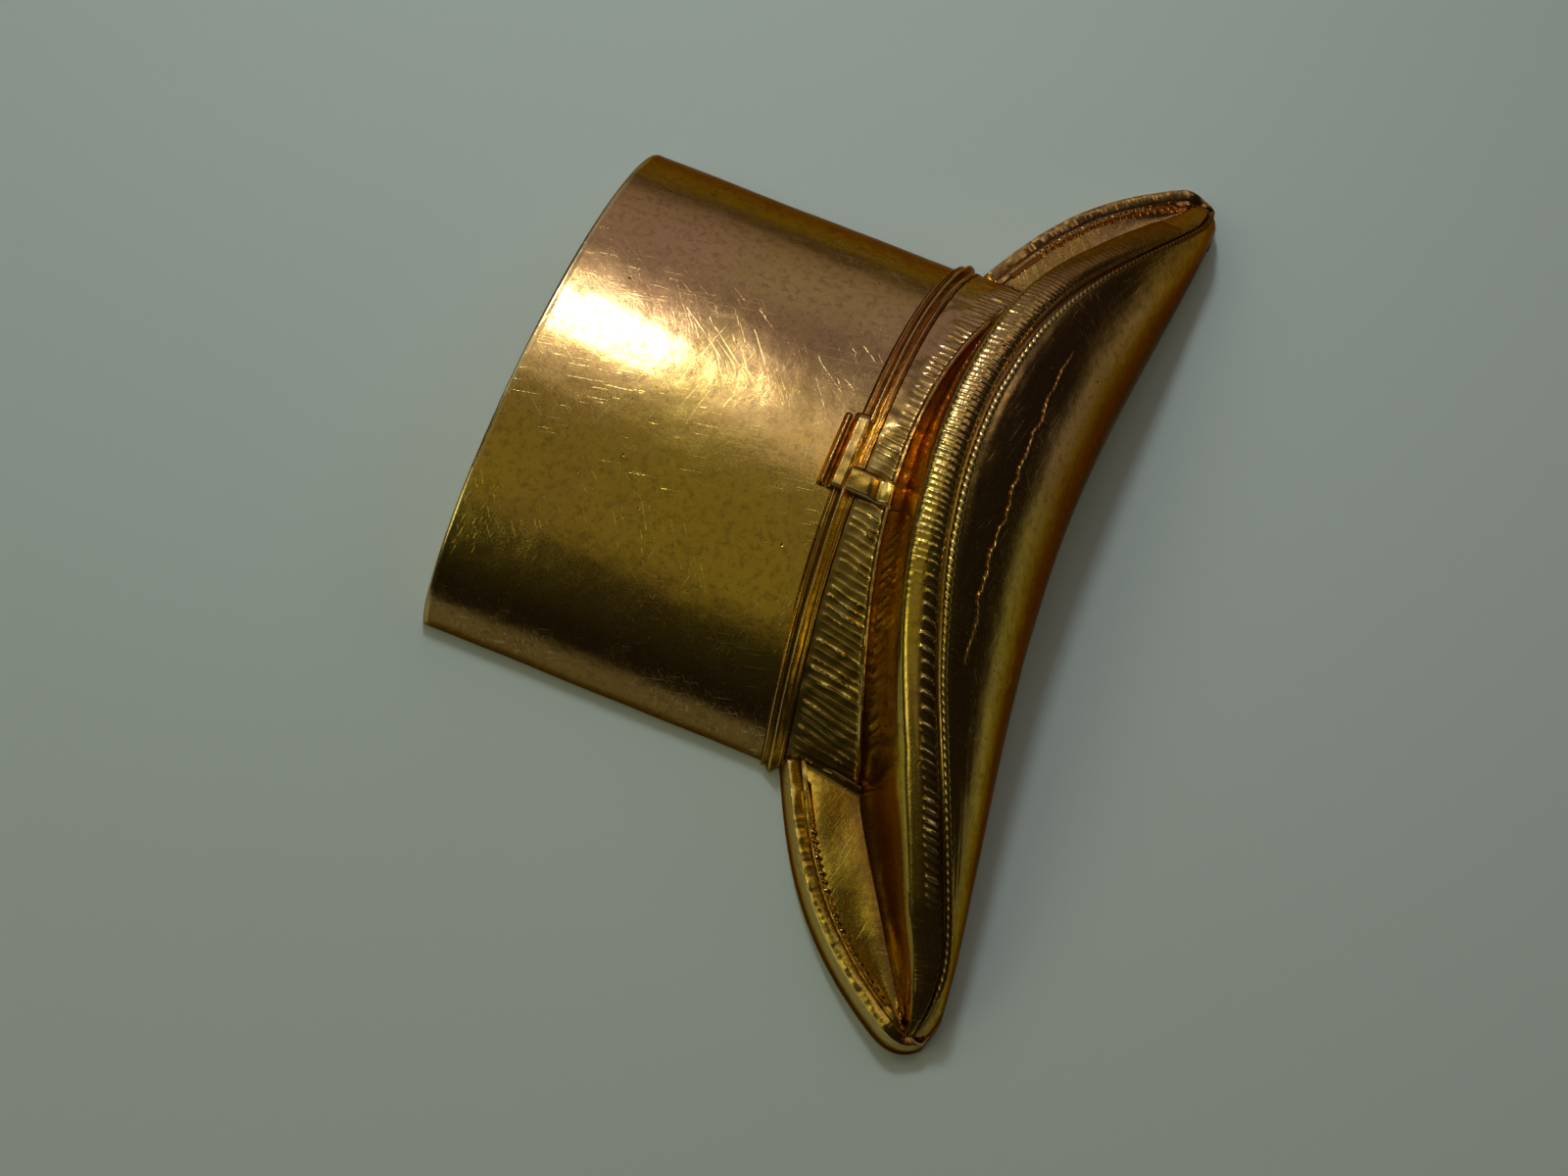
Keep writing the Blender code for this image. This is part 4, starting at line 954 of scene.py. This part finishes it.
def lobe_widths(points):
    """Width of the edge roll at each outline point: it narrows as the lobe runs out at its tip."""
    taper = np.clip((points[:, 1] - shell_edge_line(points[:, 0]) - 0.4) / 1.8, 0.0, 1.0)
    width = EDGE_ROLL_TIP_WIDTH + (EDGE_ROLL_WIDTH - EDGE_ROLL_TIP_WIDTH) * taper
    return width * (1.0 - 0.75 * smooth_step(points[:, 1], NOSE_Y - 0.4, LOBE_TIP_END[1] - 0.2))


def pan_height(f):
    """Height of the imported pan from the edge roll, f = 0, to the crease, f = 1: a shallow dish."""
    return PAN_FLOOR + 0.12 * (1.0 - f) ** 2 - 0.15 * np.sin(math.pi * f)


def lobe_sheet(name, side, outer, inner, hollow, stain_and_shade):
    """A sheet of the +X lobe, or its mirror image where side is -1."""
    flip = (side, 1.0, 1.0)
    return sheet_solid(name, outer * flip, inner * flip, hollow, stain_and_shade)


def make_edge_roll(material, side, word):
    """The rolled rim of a lobe: a smooth, lightly wrinkled ridge with a faint groove inside it."""
    points, normals, length = lobe_outline(0.05)
    width = lobe_widths(points)[:, None]
    f = np.linspace(0.0, 1.0, 34)
    along = length[:, None]
    inside, tooth = comb(along + 0.0 * f, WRINKLE_PITCH, 0.20, 71)
    wrinkle = bell(inside, 0.0, 0.25) * tooth_value(tooth, 0.2, 1.0, 72)
    arch = EDGE_ROLL_HEIGHT * (0.30 + 0.70 * np.sqrt(np.clip(f / 0.20, 0.0, 1.0)))
    arch = arch - 0.15 * smooth_step(f, 0.25, 1.10)
    z = arch - 0.03 - 0.035 * bell(f, 0.80, 0.07)
    z = z + WRINKLE_HEIGHT * wrinkle * bell(f, 0.50, 0.20) * smooth_step(along, 1.2, 3.0)
    z = z + 0.012 * waves(along, f, 0.9, 73)
    z = z * smooth_step(along, -0.4, 0.25)
    from_end = length[-1] - along
    z = z * (1.0 - 0.30 * smooth_step(from_end, 3.6, 2.2) - 0.50 * smooth_step(from_end, 2.2, 0.0))
    plan = points[:, None] + normals[:, None] * (width * f)[..., None]
    outer = np.concatenate((plan, z[..., None]), axis=-1)
    inner = outer[:, ::11].copy()
    inner[..., 2] = 0.0
    # Painted shade: brown on the outer side wall darkens its reflection of the floor; the inner flank
    # and the run-out at the tip are also darker brown.
    stain_and_shade = np.maximum(0.6 * smooth_step(f, 0.20, 0.05), 0.3 * smooth_step(f, 0.72, 0.9)) + 0.0 * z
    stain_and_shade = np.maximum(stain_and_shade, 0.9 * smooth_step(from_end, 3.8, 2.6))
    roll = lobe_sheet("edge_roll_skin_" + word, side, outer, inner, hollows(z, (3, 3), 0.07), stain_and_shade)
    return settle(roll, material, "badge", "struck_brass", "lobe_edge_roll_" + word)


def pan_edges():
    """Matching points of the pan's two edges, in plan, along the edge roll and along the crease, and
    the length along the lobe's outline."""
    points, normals, length = lobe_outline(0.05)
    edge = points + normals * (lobe_widths(points)[:, None] - 0.03)
    keep = edge[:, 1] > shell_edge_line(edge[:, 0]) + 0.06
    keep &= points[:, 0] < LOBE_CURVE_END_X + 0.2
    edge = edge[keep]
    crease_x = np.linspace(LOBE_START_X, edge[-1, 0] - 0.05, len(edge))
    crease = np.stack((crease_x, shell_edge_line(crease_x) - 0.05), axis=1)
    return edge, crease, length[keep]


def make_pan(material, side, word):
    """The smooth floor of a lobe: nearly flat, with a small upturned lip where it meets the crown."""
    edge, crease, length = pan_edges()
    f = np.linspace(0.0, 1.0, 36)
    plan = edge[:, None] + (crease - edge)[:, None] * f[:, None]
    room = np.linalg.norm(crease - edge, axis=1)[:, None]
    swell = PAN_SWELL * np.sin(math.pi * f ** 0.85) * np.minimum(room / 3.0, 1.0)
    z = pan_height(f) + swell + 0.28 * bell(length[:, None], 0.0, 0.22)
    z = z + 0.010 * waves(plan[..., 0], plan[..., 1], 2.6, 81)
    outer = np.concatenate((plan, z[..., None]), axis=-1)
    inner = outer[:, ::7].copy()
    inner[..., 2] -= SHEET
    # painted shade: brown darkening towards the crease
    stain_and_shade = 0.9 * smooth_step(f, 0.45, 0.95) + 0.0 * z
    pan = lobe_sheet("pan_skin_" + word, side, outer, inner, hollows(z, (6, 6), 0.1), stain_and_shade)
    return settle(pan, material, "badge", "struck_brass", "lobe_pan_" + word)


def make_beading(material, side, word):
    """The stitch row inside the edge roll: small beads with deep gaps between them."""
    edge, crease, length = pan_edges()
    room = np.linalg.norm(crease - edge, axis=1)
    keep = (room > 0.5) & (length > 1.0)
    edge, crease, length, room = edge[keep], crease[keep], length[keep], room[keep]
    step = (crease - edge) / room[:, None]
    across = np.linspace(-0.10, 0.40, 24)
    along = length[:, None]
    inside, tooth = comb(along + 0.25 * across, STITCH_PITCH, 0.16, 91)
    bead = bell(inside, 0.0, 0.27) * tooth_value(tooth, 0.6, 1.1, 92)
    far = smooth_step(along, 2.2, 3.6)
    bed = bell(across, 0.12, 0.16)
    plan = edge[:, None] + step[:, None] * across[:, None]
    seat = pan_height(across / room[:, None])
    shelf = 0.20 * smooth_step(across, 0.30, -0.04)
    z = seat - 0.03 + shelf + bed * (far * (STITCH_HEIGHT * bead - 0.09) + 0.06 * (1.0 - far))
    outer = np.concatenate((plan, z[..., None]), axis=-1)
    inner = outer[:, ::6].copy()
    inner[..., 2] = seat[:, ::6] - 0.2
    hollow = np.clip(1.6 * far * (0.45 - bead) * bed, -1.0, 1.0)
    stain_and_shade = 0.6 * smooth_step(bead, 0.7, 0.2) * far
    beads = lobe_sheet("beading_skin_" + word, side, outer, inner, hollow, stain_and_shade)
    return settle(beads, material, "badge", "struck_brass", "lobe_beading_" + word)


# -------- back fittings

FITTING_BRASS = ((0.66, 0.44, 0.18, 1.0), (0.24, 0.15, 0.07, 1.0))
PIN_STEEL = ((0.62, 0.60, 0.56, 1.0), (0.22, 0.20, 0.18, 1.0))


def dress_fittings():
    """The pin, hinge and catch keep their CAD shapes, with eased edges and drawn-metal finishes."""
    plain = drawn_metal("dull_brass", *FITTING_BRASS, 0.34, 0.0)
    steel = drawn_metal("drawn_steel", *PIN_STEEL, 0.24, 0.0)
    finishes = {"back_bar": plain, "hinge_joint": plain, "catch_base": plain, "catch_sleeve": plain,
                "hinge_rivet": steel, "pin_stem": steel}
    for name, material in finishes.items():
        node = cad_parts[name]
        node.data.materials.clear()
        node.data.materials.append(material)
        ease = node.modifiers.new("eased_edges", "BEVEL")
        ease.width = 0.04 * MM
        ease.segments = 2
        ease.limit_method = "ANGLE"
        ease.angle_limit = math.radians(40.0)


# -------- stage

FLOOR_RADIUS = 0.40
FLOOR_SIDES = 96
FLOOR_COLOUR = (0.76, 0.84, 0.82, 1.0)
ROOM_TO_CAMERA = (0.16, 0.17, 0.15, 1.0)
ROOM_IN_METAL = (0.016, 0.014, 0.014, 1.0)


def make_floor():
    mesh = bpy.data.meshes.new("floor")
    turns = np.linspace(0.0, 2.0 * math.pi, FLOOR_SIDES, endpoint=False)
    rim = [(FLOOR_RADIUS * math.cos(turn), FLOOR_RADIUS * math.sin(turn), 0.0) for turn in turns]
    mesh.from_pydata(rim, [], [tuple(range(FLOOR_SIDES))])
    floor = new_object("floor", mesh)
    n = Nodes("pale_floor")
    n.shader.inputs["Base Color"].default_value = FLOOR_COLOUR
    n.shader.inputs["Roughness"].default_value = 0.75
    n.shader.inputs["Specular IOR Level"].default_value = 0.2
    mesh.materials.append(n.material)


def direction(azimuth, elevation):
    """Unit vector: azimuth from +X towards +Y, elevation above the floor, both in degrees."""
    a, e = math.radians(azimuth), math.radians(elevation)
    return Vector((math.cos(a) * math.cos(e), math.sin(a) * math.cos(e), math.sin(e)))


def softbox(name, azimuth, elevation, distance, width, height, radiance, colour, round_face=False):
    """An area light facing the badge, given by the radiance of its face."""
    data = bpy.data.lights.new(name, "AREA")
    data.shape = "ELLIPSE" if round_face else "RECTANGLE"
    data.size = width
    data.size_y = height
    area = width * height * (math.pi / 4.0 if round_face else 1.0)
    data.energy = radiance * area * math.pi
    data.color = colour
    light = new_object(name, data)
    back = direction(azimuth, elevation)
    light.location = back * distance
    light.rotation_mode = "QUATERNION"
    light.rotation_quaternion = back.to_track_quat("Z", "Y")
    light.visible_camera = False


def make_lights():
    # azimuth, elevation, then distance, width and height in metres, then radiance and colour
    softbox("key", 33.0, 57.0, 0.097, 0.012, 0.015, 34.0, (0.84, 0.98, 1.0), True)
    softbox("halo", 27.0, 57.0, 0.25, 0.07, 0.16, 0.48, (0.90, 0.86, 1.0))
    softbox("wide_halo", 25.0, 57.0, 0.27, 0.18, 0.17, 0.16, (0.86, 0.84, 1.0))
    softbox("low_glow", -9.0, 68.0, 0.25, 0.036, 0.10, 0.85, (1.0, 0.96, 0.34))
    softbox("side", 5.0, 22.0, 0.36, 0.34, 0.20, 0.31, (0.84, 0.82, 1.0))
    softbox("olive_top", 150.0, 76.0, 0.34, 0.26, 0.24, 0.17, (1.0, 0.86, 0.42))
    softbox("olive_left", 131.0, 40.0, 0.36, 0.17, 0.13, 1.30, (0.96, 1.0, 0.60))
    softbox("back_glint", 69.0, 46.0, 0.36, 0.15, 0.13, 0.95, (0.94, 1.0, 0.80))
    softbox("front_left", -32.0, 42.0, 0.36, 0.15, 0.13, 0.60, (1.0, 0.92, 0.84))


def make_world():
    """A dim room: grey to the camera and near black in the metal's reflections."""
    world = bpy.data.worlds.new("room")
    bpy.context.scene.world = world
    world.use_nodes = True
    tree = world.node_tree
    seen = tree.nodes.new("ShaderNodeLightPath")
    dim = tree.nodes["Background"]
    dim.inputs["Color"].default_value = ROOM_IN_METAL
    pale = tree.nodes.new("ShaderNodeBackground")
    pale.inputs["Color"].default_value = ROOM_TO_CAMERA
    mix = tree.nodes.new("ShaderNodeMixShader")
    tree.links.new(seen.outputs["Is Camera Ray"], mix.inputs["Fac"])
    tree.links.new(dim.outputs[0], mix.inputs[1])
    tree.links.new(pale.outputs[0], mix.inputs[2])
    tree.links.new(mix.outputs[0], tree.nodes["World Output"].inputs["Surface"])


CAMERA_TARGET = Vector((-4.753, -0.393, 0.0))
CAMERA_DISTANCE = 72.5
CAMERA_AZIMUTH = -82.1        # 0 looks along +Y and 90 along -X, in degrees
CAMERA_ELEVATION = 64.69
CAMERA_ROLL = 14.61
CAMERA_LENS = 42.75           # for a sensor 36 mm wide


def make_camera():
    a, e = math.radians(CAMERA_AZIMUTH), math.radians(CAMERA_ELEVATION)
    back = Vector((math.sin(a) * math.cos(e), -math.cos(a) * math.cos(e), math.sin(e)))
    data = bpy.data.cameras.new("camera")
    data.sensor_width = 36.0
    data.lens = CAMERA_LENS
    data.clip_start = 0.001
    data.clip_end = 10.0
    camera = new_object("camera", data)
    camera.location = (CAMERA_TARGET + back * CAMERA_DISTANCE) * MM
    camera.rotation_mode = "QUATERNION"
    roll = Quaternion((0.0, 0.0, 1.0), math.radians(CAMERA_ROLL))
    camera.rotation_quaternion = (-back).to_track_quat("-Z", "Y") @ roll
    bpy.context.scene.camera = camera


def make_pieces():
    skin = brass("struck_brass_skin", polish=0.18)
    trim = brass("struck_brass_trim", polish=0.20, tarnish=0.30, scratch=0.5)
    make_crown(skin)
    make_top_plate(skin)
    make_welt(trim)
    make_ribbon(trim)
    make_bow_bar(trim)
    make_bow_tail(trim)
    make_front_shell(skin)
    make_binding(trim)
    make_cords(trim)
    for side, word in ((1.0, "right"), (-1.0, "left")):
        make_pan(skin, side, word)
        make_edge_roll(trim, side, word)
        make_beading(trim, side, word)
    dress_fittings()


make_camera()
make_world()
make_lights()
make_floor()
make_pieces()
bpy.context.scene.view_settings.view_transform = "Standard"
